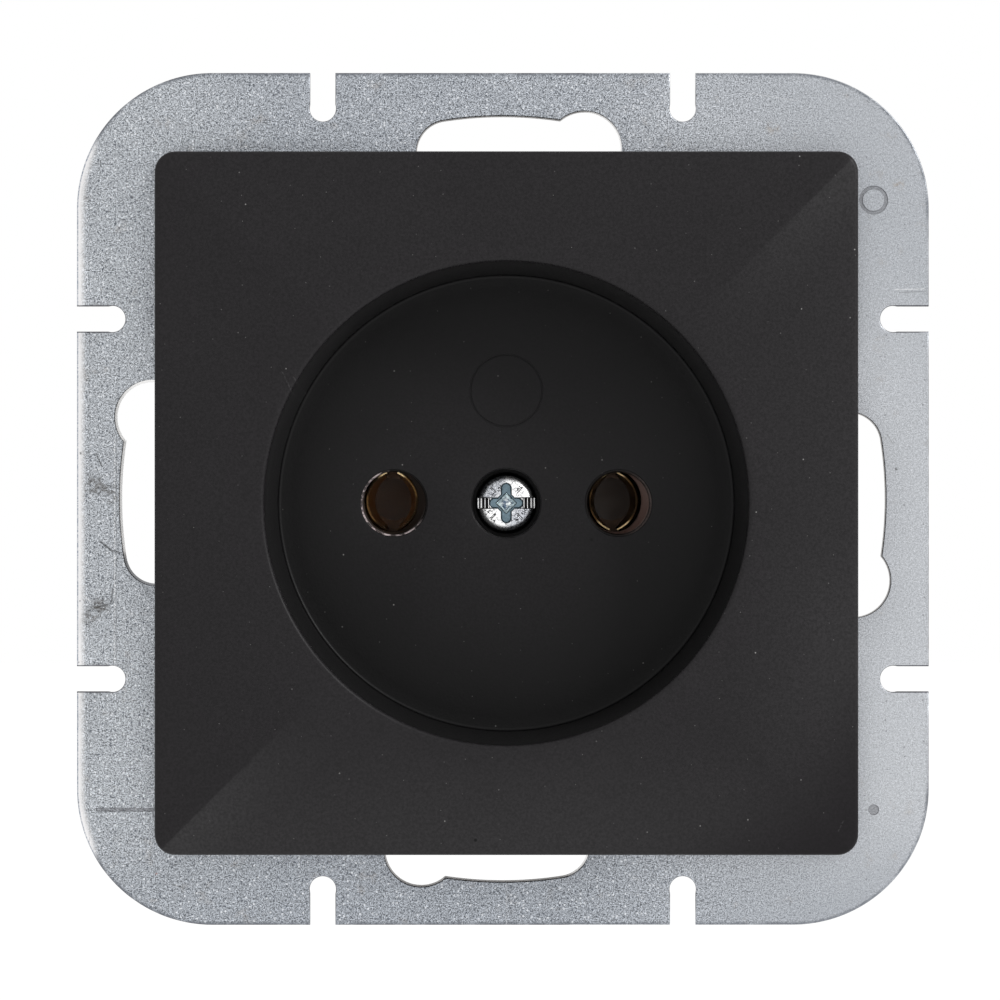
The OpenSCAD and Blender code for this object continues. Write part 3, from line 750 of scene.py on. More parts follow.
class Value:
    """A number that nodes work out, for sums and products with others and with plain numbers."""

    def __init__(self, graph, socket):
        self.graph = graph
        self.socket = socket

    def __add__(self, other):
        return self.graph.math("ADD", self, other)

    def __sub__(self, other):
        return self.graph.math("SUBTRACT", self, other)

    def __rsub__(self, other):
        return self.graph.math("SUBTRACT", other, self)

    def __mul__(self, other):
        return self.graph.math("MULTIPLY", self, other)

    def __abs__(self):
        return self.graph.math("ABSOLUTE", self)


class Graph:
    """Builds the nodes of a tree with short calls."""

    def __init__(self, tree):
        self.nodes = tree.nodes
        self.links = tree.links

    def put(self, socket, value):
        """Gives a socket a number, a colour, or what another node works out."""
        if isinstance(value, Value):
            value = value.socket
        if isinstance(value, bpy.types.NodeSocket):
            self.links.new(value, socket)
        else:
            socket.default_value = value

    def math(self, operation, first, second=0.0):
        """A number from one or two numbers."""
        node = self.nodes.new("ShaderNodeMath")
        node.operation = operation
        self.put(node.inputs[0], first)
        self.put(node.inputs[1], second)
        return Value(self, node.outputs[0])

    def most(self, first, *others):
        """The largest of some numbers."""
        for other in others:
            first = self.math("MAXIMUM", first, other)
        return first

    def seen_rays(self):
        """1 for what the camera, gloss or a clear surface sees, 0 for what only lights."""
        rays = self.nodes.new("ShaderNodeLightPath").outputs
        return self.most(rays["Is Camera Ray"], rays["Is Glossy Ray"], rays["Is Transmission Ray"])


class Material(Graph):
    """Builds a material's nodes. Places are in millimetres, as the meshes are drawn."""

    def __init__(self, name, metallic=0.0, specular=0.5, roughness=0.5):
        self.material = bpy.data.materials.new(name)
        self.material.use_nodes = True
        super().__init__(self.material.node_tree)
        self.shader = self.nodes["Principled BSDF"]
        self.shader.inputs["Metallic"].default_value = metallic
        self.shader.inputs["Specular IOR Level"].default_value = specular
        self.shader.inputs["Roughness"].default_value = roughness
        coordinates = self.nodes.new("ShaderNodeTexCoord").outputs["Object"]
        scaled = self.vector("MULTIPLY", coordinates, (1 / MM, 1 / MM, 1 / MM))
        self.x, back, self.y = self.parts(scaled)
        self.z = back * -1
        self.place = self.join(self.x, self.y, self.z)
        self.flat = self.join(self.x, self.y, 0.0)
        normal = self.nodes.new("ShaderNodeNewGeometry").outputs["Normal"]
        self.facing = self.parts(normal)[1] * -1
        self.colour = None

    def parts(self, vector):
        """The three parts of a vector."""
        node = self.nodes.new("ShaderNodeSeparateXYZ")
        self.put(node.inputs[0], vector)
        return [Value(self, output) for output in node.outputs]

    def join(self, x, y, z):
        """A vector from three numbers."""
        node = self.nodes.new("ShaderNodeCombineXYZ")
        for socket, value in zip(node.inputs, (x, y, z)):
            self.put(socket, value)
        return node.outputs[0]

    def vector(self, operation, first, second=(0, 0, 0)):
        """A vector from one or two vectors, or a number for LENGTH and the like."""
        node = self.nodes.new("ShaderNodeVectorMath")
        node.operation = operation
        self.put(node.inputs[0], first)
        self.put(node.inputs[1], second)
        if operation in ("LENGTH", "DISTANCE", "DOT_PRODUCT"):
            return Value(self, node.outputs["Value"])
        return node.outputs["Vector"]

    def step(self, value, low, high, to_low=0.0, to_high=1.0):
        """A smooth step from one value to another; low may be the larger one."""
        node = self.nodes.new("ShaderNodeMapRange")
        node.interpolation_type = "SMOOTHSTEP"
        if low > high:
            low, high, to_low, to_high = high, low, to_high, to_low
        for socket, number in zip(node.inputs, (value, low, high, to_low, to_high)):
            self.put(socket, number)
        return Value(self, node.outputs[0])

    def band(self, value, low, high, soft):
        """1 between two limits, 0 outside, with soft edges."""
        return self.step(value, low - soft, low + soft) * self.step(value, high + soft, high - soft)

    def noise(self, size, detail=2.0, roughness=0.5):
        """Noise about 0.5, with features of a size in millimetres."""
        node = self.nodes.new("ShaderNodeTexNoise")
        self.put(node.inputs["Vector"], self.place)
        node.inputs["Scale"].default_value = 1 / size
        node.inputs["Detail"].default_value = detail
        node.inputs["Roughness"].default_value = roughness
        return Value(self, node.outputs[0])

    def cells(self, size):
        """Distance to the nearest of scattered points on the front, and its random numbers."""
        node = self.nodes.new("ShaderNodeTexVoronoi")
        node.voronoi_dimensions = "2D"
        self.put(node.inputs["Vector"], self.place)
        node.inputs["Scale"].default_value = 1 / size
        return Value(self, node.outputs["Distance"]) * size, self.parts(node.outputs["Color"])

    def spot(self, x, y, radius, soft):
        """1 inside a round spot on the front."""
        distance = self.vector("DISTANCE", self.flat, (x, y, 0))
        return self.step(distance, radius + soft, radius - soft)

    def scratch(self, start, end, width):
        """1 on a thin straight scratch on the front."""
        run = Vector((end[0] - start[0], end[1] - start[1], 0))
        sideways = (-run.y / run.length, run.x / run.length, 0)
        from_start = self.vector("SUBTRACT", self.flat, (start[0], start[1], 0))
        along = self.vector("DOT_PRODUCT", from_start, tuple(run.normalized()))
        across = abs(self.vector("DOT_PRODUCT", from_start, sideways))
        return self.band(along, 0, run.length, width) * self.step(across, width, width / 3)

    def mix(self, share, first, second):
        """A colour between two colours. A plain number stands for a grey."""
        node = self.nodes.new("ShaderNodeMix")
        node.data_type = "RGBA"
        self.put(node.inputs[0], share)
        for socket, value in ((node.inputs[6], first), (node.inputs[7], second)):
            if isinstance(value, float):
                value = (value, value, value)
            self.put(socket, (*value, 1) if isinstance(value, tuple) else value)
        return node.outputs[2]

    def paint(self, share, tone):
        """Lays a tone over the colour, as thickly as the share says."""
        self.colour = self.mix(share, self.colour, tone)

    def shade(self, factor):
        """Makes the colour brighter or darker by a factor."""
        node = self.nodes.new("ShaderNodeVectorMath")
        node.operation = "SCALE"
        self.put(node.inputs[0], self.colour)
        self.put(node.inputs["Scale"], factor)
        self.colour = node.outputs["Vector"]

    def finish(self, roughness=None, height=None, depth=0.01, edge_r=0):
        """Links the colour, the roughness, a bump of a depth, and edges rounded to a radius."""
        self.put(self.shader.inputs["Base Color"], self.colour)
        if height is not None:
            self.put(self.shader.inputs["Roughness"], roughness)
            bump = self.nodes.new("ShaderNodeBump")
            bump.inputs["Distance"].default_value = depth * MM
            self.put(bump.inputs["Height"], height)
            if edge_r:
                bevel = self.nodes.new("ShaderNodeBevel")
                bevel.samples = 6
                bevel.inputs["Radius"].default_value = edge_r * MM
                self.put(bump.inputs["Normal"], bevel.outputs[0])
            self.put(self.shader.inputs["Normal"], bump.outputs[0])
        return self.material


# Upright streaks on the plate: x, lowest y, highest y, tone and strength
STREAKS = (
    (-34.45, -30, 28, 0.16, 0.35), (-33.95, -20, 26, 0.2, 0.2), (-32.35, -14, 5, 0.85, 0.7),
    (-32.2, -14, 5, 0.1, 0.6), (-27.3, -36, 36, 0.6, 0.12), (0.6, -36, -28, 0.15, 0.3),
    (0.3, -36, -28, 0.75, 0.3),
)
# Scratches on the plate: start, end, width, tone and strength
SCRATCHES = (
    ((-33.6, -3.5), (-32.6, -4.3), 0.12, 0.04, 0.9), ((-32.6, -4.3), (-31.8, -4.5), 0.1, 0.06, 0.8),
    ((-33.9, 3.8), (-33.4, 2.7), 0.1, 0.06, 0.8), ((-32.5, -7.4), (-32.6, -8.7), 0.1, 0.06, 0.8),
    ((-34.1, -9.1), (-32.9, -8.8), 0.13, 0.06, 0.85),
    ((-29.5, 19.9), (-29.1, 18.9), 0.08, 0.1, 0.6),
    ((32, 5.4), (32.5, 4.6), 0.07, 0.2, 0.5), ((-27.6, -32.1), (-26.6, -32.4), 0.08, 0.1, 0.6),
    ((-34.2, -8.9), (-32.8, -9.3), 0.1, 0.1, 0.55), ((20.5, 33.8), (24.5, 33.2), 0.05, 0.75, 0.3),
    ((-20, -33.4), (-12, -33.9), 0.06, 0.15, 0.3), ((-33, 8.2), (-31.9, 8), 0.08, 0.15, 0.45),
    ((-31.8, -13.6), (-30.1, -14.6), 0.08, 0.15, 0.5), ((33, 17.2), (35.3, 17.3), 0.07, 0.15, 0.5),
    ((32.6, 17.45), (35.2, 17.5), 0.05, 0.85, 0.6), ((-35, -8), (-34.3, -8.6), 0.06, 0.9, 0.5),
)
# Smudges and dots on the plate: x, y, radius, colour and strength
SOOT, DARK_DOT, STAIN = (0.08, 0.07, 0.06), 0.1, (0.33, 0.26, 0.18)
SMUDGES = (
    (-32.35, -24, 0.1, DARK_DOT, 0.8), (19.4, -30.7, 0.15, 0.05, 0.9),
    (-33.9, 1.1, 0.8, SOOT, 0.6), (-32.7, 0.4, 0.7, SOOT, 0.6), (-33.6, -9.1, 0.8, SOOT, 0.6),
    (-34.4, -9.9, 0.6, SOOT, 0.55), (-28.9, -31.2, 0.12, (0.25, 0.08, 0.04), 0.9),
    (32.8, 2.5, 0.12, DARK_DOT, 0.8), (-35.2, 3.8, 0.1, DARK_DOT, 0.8),
    (-26.9, -32.3, 0.1, 0.08, 0.8), (22.5, 30.9, 0.5, STAIN, 0.3),
    (33, 26.2, 0.4, STAIN, 0.4),
)
# Scuffs on the cover: start, end and width. Pits in it: x and y.
SCUFFS = (((-18.2, 10.6), (-17, 8.1), 0.07), ((-17.2, 10.1), (-16.6, 8.8), 0.05),
          ((-18.3, -11.7), (-17.8, -12.2), 0.07), ((27.6, -27.4), (28.1, -26.4), 0.06))
PITS = ((-2.25, -28.1), (7.5, -3.45))
# Lit sides of the pin holes: middle, direction, where it starts and is full as a cosine with
# that direction, colour, and strengths between which it breaks up
LIT_SIDES = ((-PIN_X, 215, -0.5, -0.1, (0.75, 0.64, 0.64), (0.08, 0.9)),
             (PIN_X, 0, 0.0, 0.8, (0.09, 0.07, 0.065), (0.5, 1.0)))
# Painted highlights on parts of the leaves' front edges: hole and leaf (-1 left, 1 right), lowest
# y, highest y, and strength
EDGE_HIGHLIGHTS = ((-1, -1, -1.9, 0.3, 1), (-1, 1, 0.2, 3, 1), (1, -1, 0.1, 0.7, 0.45),
              (1, -1, -2.5, -0.9, 0.45), (1, 1, 1.2, 3, 0.45), (1, 1, -2.5, -1.5, 0.45))
# Heights of the rear cap's front, which shows between the leaves
CAP_HEIGHTS = (-28, -24)


def zinc_material():
    """Zinc-plated sheet: fine speckle, light grey cut edges, scratches and smudges, with painted
    light: darker in the middle, paler to the right, shaded at the bottom and top right, and painted
    shade and highlights along edges and in the keyholes.
    """
    g = Material("zinc_plate", metallic=1.0)
    # Painted light: the tone darkens from the left to the middle and is paler to the right
    across = g.x + (g.noise(14, 3) - 0.5) * 14
    g.colour = g.mix(g.step(across, -34, -14), (0.385, 0.405, 0.43), (0.335, 0.355, 0.385))
    g.paint(g.step(across, 0, 30), (0.445, 0.46, 0.484))
    # Painted shade: duller at the bottom and at the top right
    painted_shade = g.most(g.step(g.y, -24, -36, 0, 0.62), g.step(g.x + g.y, 38, 58, 0, 0.35))
    g.paint(painted_shade, (0.27, 0.29, 0.32))
    grain = g.noise(0.09, 1, roughness=0.6)
    fine = g.noise(0.2, 3, roughness=0.85)
    speckle = grain * 0.55 + fine * 0.45
    factor = (speckle - 0.5) * g.step(across, 12, 32, 7.6, 2.4) + 1.03
    g.shade(g.most(factor, 0.2))
    distance, random = g.cells(0.34)
    pits = g.step(distance, 0.11, 0.05) * g.step(across, 24, 8, 0.1, 1)
    g.paint(pits * g.step(random[0], 0.7, 0.95, 0, 0.75), (0.06, 0.07, 0.09))
    g.paint(pits * g.step(random[0], 0.22, 0.05, 0, 0.6), (0.9, 0.92, 0.95))
    stain = g.step(g.noise(2.2, 4, roughness=0.65), 0.6, 0.72) * g.step(fine, 0.4, 0.6)
    g.paint(stain * 0.35, (0.3, 0.25, 0.2))

    # The outer edge: a dark broken line along it, and at the left a painted highlight on the roll,
    # with a dark blue line at its very edge
    off_x, off_y = abs(g.x), abs(g.y)
    core = PLATE_HALF - PLATE_CORNER
    past_core = g.join(g.most(off_x - core, 0.0), g.most(off_y - core, 0.0), 0.0)
    inward = PLATE_CORNER - g.vector("LENGTH", past_core)
    edge_breakup = g.noise(1.6, 2)
    ragged = inward + (fine - 0.5) * 0.5
    left = g.step(g.x, -33.5, -34.5)
    straight_right = g.step(g.x, 34.6, 35.1) * g.step(off_y, 25, 21)
    rim = g.step(ragged, 0.35, 0.1) * g.step(edge_breakup, 0.3, 0.6, 0.25, 0.8)
    rim = rim * (1 - g.most(left, straight_right * 0.8))
    g.paint(rim * g.step(g.facing, 0.8, 0.97), (0.13, 0.14, 0.16))
    roll = g.step(ragged, 0.88, 0.1) * left
    g.paint(roll * g.step(edge_breakup, 0.2, 0.5, 0.75, 1.0), (0.84, 0.83, 0.83))
    edge = g.band(inward, 0.02, 0.12, 0.03) * left
    g.paint(edge * g.step(speckle, 0.45, 0.55, 0.3, 0.9), (0.12, 0.17, 0.25))

    for x, low, high, tone, share in STREAKS:
        streak = g.band(g.x, x - 0.04, x + 0.04, 0.04) * g.band(g.y, low, high, 1)
        streak = streak * g.step(fine, 0.42, 0.58)
        g.paint(streak * share, tone)
    for start, end, width, tone, share in SCRATCHES:
        uneven = g.scratch(start, end, width) * g.step(fine, 0.35, 0.6, 0.4, 1.0)
        g.paint(uneven * share, tone)
    clump = g.step(g.noise(0.45, 3, roughness=0.7), 0.46, 0.56, 0.1, 1.0)
    for x, y, radius, tone, share in SMUDGES:
        g.paint(g.spot(x, y, radius, radius * 0.6) * clump * share, tone)
    distance, random = g.cells(1.6)
    fleck = g.step(distance, 0.1, 0.04) * g.math("GREATER_THAN", random[0], 0.86)
    g.paint(fleck * 0.6, (0.13, 0.13, 0.14))

    # Cut edges: grey outside; in the keyholes, painted shade in brown, painted highlights and a
    # painted shadow
    in_keyhole = g.band(g.vector("LENGTH", g.flat), 27.5, 34, 0.2)
    keyhole_highlights = g.most(g.step(g.x, -28, -29) * g.band(g.y, -4.5, 12, 0.3),
                    g.step(g.y, 28, 29) * g.step(g.x, 6.5, 7.5),
                    g.step(g.y, -28, -29) * g.step(g.x, 5, 6))
    # Painted shadow on the lower part of the left keyhole's walls
    keyhole_shadow = g.step(g.x, -28, -29) * g.step(g.y, -4.5, -5.2)
    # Painted shade in brown on the keyhole walls, under the painted highlights and shadow
    punched = g.mix(keyhole_highlights, (0.2, 0.185, 0.175), (0.85, 0.84, 0.83))
    punched = g.mix(keyhole_shadow, punched, (0.03, 0.035, 0.05))
    cut = g.step(abs(g.facing), 0.85, 0.6)
    g.paint(cut, g.mix(in_keyhole, (0.6, 0.6, 0.61), punched))

    # Painted shade: dark lines along the side slots and on the rounded edges. The stamped marks are
    # darker.
    half = EDGE_SLOT_WIDTH / 2
    line = g.band(abs(off_y - EDGE_SLOT_PITCH / 2), half - 0.1, half + 0.1, 0.03)
    line = line * g.step(off_x, 32.2, 32.8) * g.step(edge_breakup, 0.25, 0.55, 0.6, 0.95)
    g.paint(line, (0.05, 0.05, 0.06))
    turned = g.step(g.facing, 0.97, 0.85) * g.step(g.facing, 0.1, 0.3)
    turned = turned * (1 - left * g.step(inward, 0.25, 0.12)) * (1 - keyhole_highlights)
    g.paint(turned * g.step(edge_breakup, 0.3, 0.6, 0.45, 0.95), (0.09, 0.09, 0.105))
    floor = PLATE_FRONT - MARK_DEPTH
    stamped = g.step(g.z, floor - 0.02, floor) * g.step(g.z, PLATE_FRONT, PLATE_FRONT - 0.02)
    marks = stamped * g.step(inward, 1, 1.4) * (1 - in_keyhole)
    g.paint(marks * 0.55, (0.14, 0.14, 0.15))
    return g.finish(speckle * 0.16 + 0.26, speckle + fine * 0.5, 0.012)


def cover_material():
    """Matt black moulding with a fine texture, dust, two pits and a few scuffs, and painted light:
    a dimmer well, lighter right and bottom faces, and painted shade and highlights in the pin
    holes.
    """
    g = Material("cover_plastic", specular=0.16)
    grain = g.noise(0.22, 2, roughness=0.7)
    x, y = g.x - COVER_X, g.y - COVER_Y
    flat = g.join(x, y, 0.0)
    from_middle = g.vector("LENGTH", flat)
    g.colour = g.mix(g.noise(9, 2), (0.0125, 0.0114, 0.0125), (0.0165, 0.0152, 0.0165))

    # Painted shade: the well is dimmer than the front, and its lower walls are darker than its
    # upper ones
    in_well = g.step(from_middle, RIM_R + 0.1, RIM_R - 0.1)
    well_shade = g.step(from_middle, 6, 18.5, 0.25, 0.75) + g.step(y, 0, -12, 0, 0.1)
    g.shade(1 - in_well * well_shade)
    well_wall_shade = g.mix(g.step(y, -10, 10), (0.012, 0.0117, 0.012), (0.022, 0.0215, 0.022))
    g.paint(g.step(g.facing, 0.5, 0.2) * in_well, well_wall_shade)

    # Painted light: the right and bottom faces are lighter beside the ridges and towards the edge
    side = x - y
    past_ridge = g.step(side, -0.05, 0.25)
    reach = g.most(abs(x), abs(y))
    ridge_light = past_ridge * g.step(side, 7, 0.3) * g.step(reach, 16, 27)
    edge_light = past_ridge * g.step(reach, 17, 29) * g.step(side, 56, 38, -1.1, 1)
    lift = ridge_light * 0.0085 + edge_light * g.step(y, 0, -10, 0.003, 0.008)
    lift = lift * g.step(from_middle, RIM_R, RIM_R + 3)
    g.colour = g.vector("ADD", g.colour, g.join(lift, lift, lift))
    g.shade(g.step(grain, 0.25, 0.75, 0.68, 1.32))

    front = g.step(g.facing, 0.8, 0.95)
    for size, radius, least, share in ((2.3, 0.05, 0.45, 0.2), (4.2, 0.08, 0.75, 0.4)):
        distance, random = g.cells(size)
        dust = g.step(distance, radius, radius * 0.4) * g.math("GREATER_THAN", random[0], least)
        g.paint(dust * front * (random[1] * share), (0.75, 0.74, 0.72))
    for start, end, width in SCUFFS:
        uneven = g.scratch(start, end, width) * g.step(grain, 0.4, 0.6)
        g.paint(uneven * 0.04, 0.6)
    for pit_x, pit_y in PITS:
        g.paint(g.spot(pit_x, pit_y, 0.13, 0.05), 0.001)

    deep = g.step(g.z, FLOOR_FRONT - 0.1, FLOOR_FRONT - 0.2)
    broken = g.noise(0.5, 2, roughness=0.7)
    for middle, angle, from_side, to_side, tone, shares in LIT_SIDES:
        from_hole = g.vector("SUBTRACT", flat, (middle, 0, 0))
        distance = g.vector("LENGTH", from_hole)
        direction = g.vector("NORMALIZE", from_hole)
        toward = g.vector("DOT_PRODUCT", direction, (*on_circle(1, angle), 0))
        near = g.step(distance, PIN_HOLE_R + 0.3, PIN_HOLE_R + 0.2) * deep
        lip = near * g.step(toward, from_side, to_side)
        # Painted shade on the walls of each pin hole, and a painted highlight on its lit side
        g.paint(near, (0.009, 0.007, 0.006))
        g.paint(lip * g.step(broken, 0.42, 0.58, *shares), tone)
    return g.finish(g.step(grain, 0.25, 0.75, 0.36, 0.46), grain + g.noise(0.9, 1) * 0.6)


def steel_material():
    """Bright zinc on turned steel, with fine scratches."""
    g = Material("bright_steel", metallic=1.0)
    grain = g.noise(0.12, 3, roughness=0.7)
    g.colour = g.mix(grain, (0.42, 0.45, 0.48), (0.72, 0.75, 0.78))
    g.paint(g.step(g.noise(0.8, 2), 0.55, 0.75), (0.3, 0.31, 0.33))
    return g.finish(g.step(grain, 0.2, 0.8, 0.2, 0.4), grain)


def screw_material():
    """The cover screw: a grey dome with painted highlights on two quarters, a blue-grey recess, and
    painted shade on its steep walls and at the rim.
    """
    g = Material("cover_screw_steel", metallic=1.0)
    x, y = g.x - COVER_X, g.y - COVER_Y
    reach = g.vector("LENGTH", g.join(x, y, 0.0))
    off_x, off_y = abs(x), abs(y)
    diamond = off_x + off_y
    grain = g.noise(0.1, 3, roughness=0.7)

    # The dome: two quarters with painted highlights, flecks, strokes round the recess and painted
    # shade at its rim
    g.colour = g.mix(g.step(grain, 0.35, 0.65), (0.2, 0.21, 0.24), (0.8, 0.82, 0.86))
    quarter_highlight = g.mix(g.step(grain, 0.3, 0.45), (0.6, 0.63, 0.68), 1.0)
    g.paint(g.step(x * y, 0.5, -0.9, 1, 0), quarter_highlight)
    flecks = g.step(g.noise(0.28, 4, roughness=0.7), 0.58, 0.64) * g.step(reach, 1.1, 1.4)
    g.paint(flecks * 0.85, (0.03, 0.03, 0.035))
    wander = abs(g.noise(0.6, 2) - 0.5)
    strokes = g.step(wander, 0.022, 0.008) * g.band(reach, 1.05, 1.95, 0.05)
    g.paint(strokes, (0.01, 0.01, 0.012))
    # Painted shade at the dome's rim
    g.paint(g.step(reach + grain * 0.35, 2.4, 2.6), (0.015, 0.015, 0.017))

    # The slot's ribs with painted highlights and shade, the recess, painted shade on its steep
    # walls, and the pit with its light outline
    in_slot = g.step(off_y, SLOT_HALF + 0.02, SLOT_HALF - 0.04)
    in_slot = in_slot * g.step(off_x, SLOT_RIB_START + 0.05, SLOT_RIB_START + 0.15)
    rib = g.math("COSINE", off_x * (2 * math.pi / SLOT_RIB_PITCH))
    rib_light_and_shade = g.mix(g.step(rib, -0.7, 0.1), (0.02, 0.02, 0.022), 1.0)
    g.paint(in_slot, rib_light_and_shade)
    deep = g.step(g.z, HEAD_TOP - SLOT_DEPTH - 0.25, HEAD_TOP - CROSS_DEPTH + 0.12)
    recess_colour = g.mix(g.noise(0.3, 2), (0.1, 0.15, 0.18), (0.22, 0.3, 0.35))
    g.paint(deep * g.step(reach, 1.9, 1.8), recess_colour)
    steep_wall_shade = g.step(g.facing, 0.9, 0.7) * g.step(reach, 2.05, 1.95)
    steep_wall_shade = steep_wall_shade * g.step(diamond, PIT_REACH + 0.08, PIT_REACH + 0.16)
    g.paint(steep_wall_shade, (0.012, 0.012, 0.013))
    swirl = g.step(g.noise(0.4, 3, roughness=0.6), 0.4, 0.6)
    pit_colour = g.mix(swirl, (0.12, 0.16, 0.22), (0.95, 1.0, 1.0))
    g.paint(g.step(diamond, PIT_REACH + 0.06, PIT_REACH), pit_colour)
    outline = g.band(diamond, PIT_REACH - 0.17, PIT_REACH + 0.04, 0.04)
    g.paint(outline, (0.85, 0.95, 0.97))
    line = g.band(off_y, SLOT_HALF - 0.02, SLOT_HALF + 0.05, 0.02)
    line = line * g.step(off_x, SLOT_RIB_START - 0.05, SLOT_RIB_START + 0.05)
    g.paint(line, (0.012, 0.012, 0.013))
    return g.finish(g.step(grain, 0.2, 0.8, 0.22, 0.38), grain)


def brass_material():
    """Rolled brass with a few darker patches."""
    g = Material("contact_brass", metallic=1.0)
    grain = g.noise(0.2, 3, roughness=0.7)
    g.colour = g.mix(grain, (0.42, 0.27, 0.09), (0.66, 0.45, 0.18))
    g.paint(g.step(g.noise(2.5, 2), 0.5, 0.75), (0.2, 0.1, 0.035))
    return g.finish(g.step(grain, 0.2, 0.8, 0.28, 0.45), grain)


def lit_and_shaded_brass_material():
    """The contacts' brass, with painted light: dark brown with painted shade, the left hole's
    leaves lighter than the right's, and painted highlights on parts of the front edges and at the
    tips.
    """
    g = Material("worn_brass", metallic=1.0)
    grain = g.noise(0.2, 3, roughness=0.7)
    # Painted shade: the strip deep in the holes is dark brown; painted light: the left hole's
    # leaves are lighter than the right's
    right = g.step(g.x, -1, 1)
    strip = g.mix(grain, (0.055, 0.038, 0.03), (0.085, 0.06, 0.045))
    left_leaves = g.mix(grain, (0.8, 0.52, 0.3), (1.0, 0.7, 0.42))
    right_leaves = g.mix(grain, (0.35, 0.23, 0.14), (0.5, 0.35, 0.22))
    leaves = g.mix(right, left_leaves, right_leaves)
    g.colour = g.mix(g.step(g.z, STRIP_BACK + 1, STRIP_BACK + 2), strip, leaves)
    g.paint(g.step(g.facing, -0.3, -0.6), (0.4, 0.26, 0.09))

    # Painted highlights on parts of the front edges and at the tips; painted shade on the rest of
    # the front edges
    edge_highlight = 0.0
    for hole, leaf, low, high, share in EDGE_HIGHLIGHTS:
        off = (g.x - hole * STRIP_X) * leaf
        edge_highlight = g.most(g.band(off, 0.2, 3, 0.1) * g.band(g.y, low, high, 0.25) * share, edge_highlight)
    tip_highlight = g.step(abs(g.y), 1.75, 2.05) * g.step(g.x, -1, 1, 1, 0.45)
    tip_highlight = tip_highlight * g.most(g.step(g.y, -1, 1), right)
    edge_highlight_colour = g.mix(grain, (0.05, 0.028, 0.01), (0.2, 0.115, 0.042))
    edge_light_and_shade = g.mix(tip_highlight, g.mix(edge_highlight, (0.02, 0.012, 0.006), edge_highlight_colour), (1.0, 0.76, 0.42))
    g.paint(g.step(g.z, LEAF_FRONT - 0.12, LEAF_FRONT - 0.02), edge_light_and_shade)
    return g.finish(g.step(grain, 0.2, 0.8, 0.28, 0.45), grain)


def housing_material():
    """Dark brown-grey moulding with a faint swirl in its gloss, brown on the rear cap's front in
    the pin holes, and painted light on the pin guides.
    """
    g = Material("housing_plastic", specular=0.4)
    swirl = g.noise(6, 3, roughness=0.6)
    grain = g.noise(0.3, 2)
    g.colour = g.mix(swirl, (0.015, 0.012, 0.0105), (0.032, 0.027, 0.024))
    near = g.most(g.spot(-STRIP_X, 0, GUIDE_R + 0.2, 0.1), g.spot(STRIP_X, 0, GUIDE_R + 0.2, 0.1))
    # Brown on the rear cap's front, where it shows between the leaves
    cap_brown = g.step(g.facing, 0.8, 0.95) * (g.band(g.z, *CAP_HEIGHTS, 0.3) * near)
    g.paint(cap_brown, (0.26, 0.178, 0.132))
    # Painted light: the right pin guide is lighter than the left one
    guide_light_and_shade = g.mix(g.step(g.x, -1, 1), (0.036, 0.026, 0.02), (0.17, 0.105, 0.088))
    guide = g.band(g.z, GUIDE_LIP - 0.2, GUIDE_FRONT + 0.1, 0.1) * near
    g.paint(guide, guide_light_and_shade)
    roughness = g.step(swirl, 0.3, 0.7, 0.24, 0.38) + grain * 0.06
    return g.finish(roughness, grain, edge_r=0.3)


zinc = zinc_material()
black = cover_material()
steel = steel_material()
brown = housing_material()
brass = brass_material()

slots = {row["node"]: row["material_slot"] for row in frame["record"]["subparts"]}
by_slot = {"zinc_plate": zinc, "cover_plastic": black, "bright_steel": steel,
           "housing_plastic": brown, "contact_brass": brass}
for name, node in frame["nodes"].items():
    node.data.materials.clear()
    node.data.materials.append(by_slot[slots[name]])

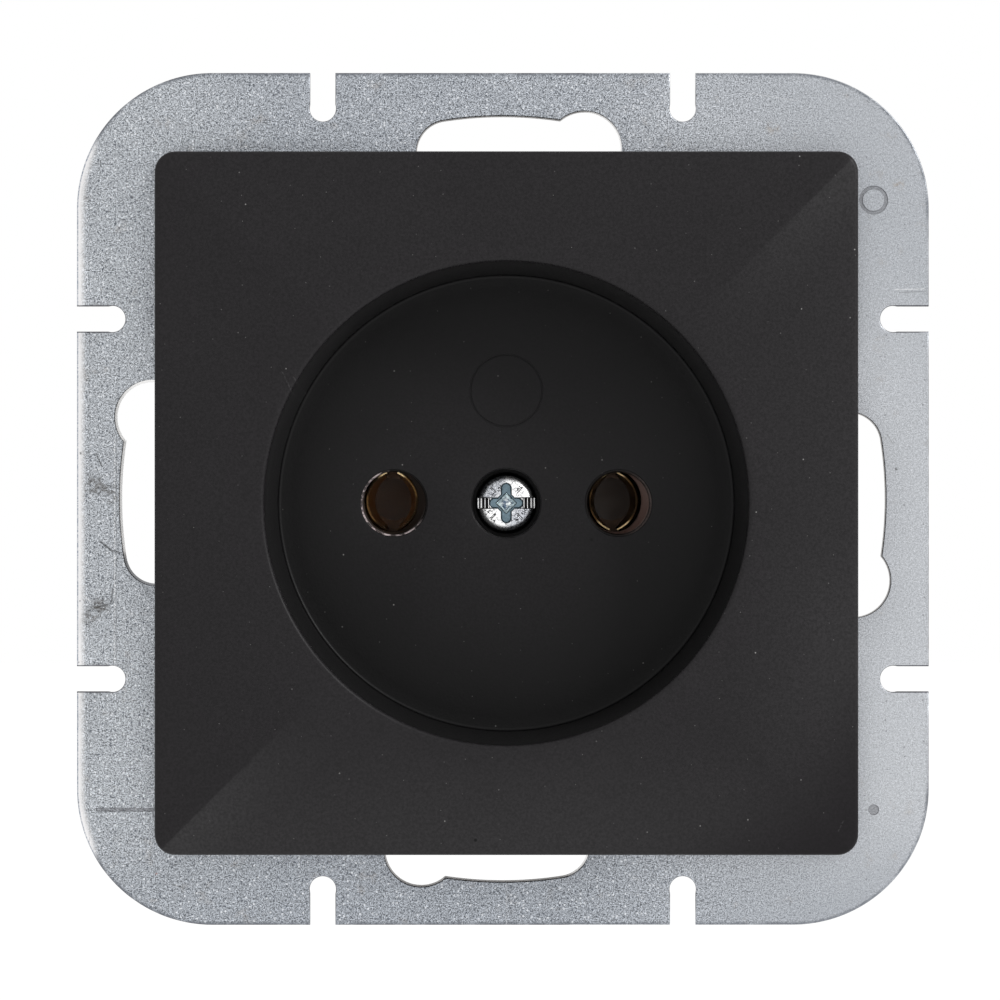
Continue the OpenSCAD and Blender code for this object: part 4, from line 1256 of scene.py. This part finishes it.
cover = make_cover(black)
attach(cover, "root")
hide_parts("cover")
ribs = make_ribs(black)
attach(ribs, "root")
plate = make_plate(zinc)
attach(plate, "root")
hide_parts("support_plate")
screw = make_screw(screw_material())
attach(screw, "root")
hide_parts("cover_screw")
worn_brass = lit_and_shaded_brass_material()
for name, side in (("contact_left", -1), ("contact_right", 1)):
    contact = make_contact(name + "_leaves", side, worn_brass)
    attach(contact, "root")
    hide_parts(name)
    guide = make_guide(name.replace("contact", "pin_guide"), side, brown)
    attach(guide, "root")


# Camera, light and floor

def make_camera():
    """The camera straight in front, at the photograph's distance."""
    data = bpy.data.cameras.new("camera")
    data.sensor_width = 36
    data.lens = CAMERA_LENS
    data.clip_start = 0.01
    made = add_object("camera", data)
    made.location = point(*CAMERA_PLACE)
    made.rotation_euler = (math.pi / 2, 0, 0)
    bpy.context.scene.camera = made


def make_lamp(name, place, watts):
    """A square soft lamp that faces the socket."""
    data = bpy.data.lights.new(name, "AREA")
    data.shape = "SQUARE"
    data.size = LAMP_SIZE * MM
    data.energy = watts
    made = add_object(name, data)
    made.location = point(*place)
    made.rotation_euler = (-made.location).to_track_quat("-Z", "Y").to_euler()


def make_world():
    """White where the camera, metal and gloss see it, plain soft light elsewhere."""
    world = bpy.data.worlds.new("world")
    bpy.context.scene.world = world
    world.use_nodes = True
    g = Graph(world.node_tree)
    g.nodes.clear()
    mix = g.nodes.new("ShaderNodeMixShader")
    g.put(mix.inputs[0], g.seen_rays())
    for socket, tone in ((mix.inputs[1], SOFT_LIGHT), (mix.inputs[2], 1)):
        background = g.nodes.new("ShaderNodeBackground")
        background.inputs["Color"].default_value = (tone, tone, tone, 1)
        g.put(socket, background.outputs[0])
    g.put(g.nodes.new("ShaderNodeOutputWorld").inputs["Surface"], mix.outputs[0])


def make_floor():
    """A plain pale floor, lifted to white where the camera, metal and gloss see it."""
    place = point(0, -PLATE_HALF - FLOOR_DROP, 0)
    bpy.ops.mesh.primitive_plane_add(size=FLOOR_SIZE_M, location=place)
    floor = bpy.context.object
    floor.name = "floor"
    g = Material("floor", roughness=0.8, specular=0.0)
    g.shader.inputs["Emission Color"].default_value = (1, 1, 1, 1)
    g.put(g.shader.inputs["Emission Strength"], g.seen_rays() * FLOOR_LIFT)
    g.colour = g.mix(g.noise(40, 2), 0.88, 0.92)
    floor.data.materials.append(g.finish())


make_camera()
make_world()
make_floor()
for name, place, watts in LAMPS:
    make_lamp(name, place, watts)
bpy.context.scene.view_settings.view_transform = "Standard"
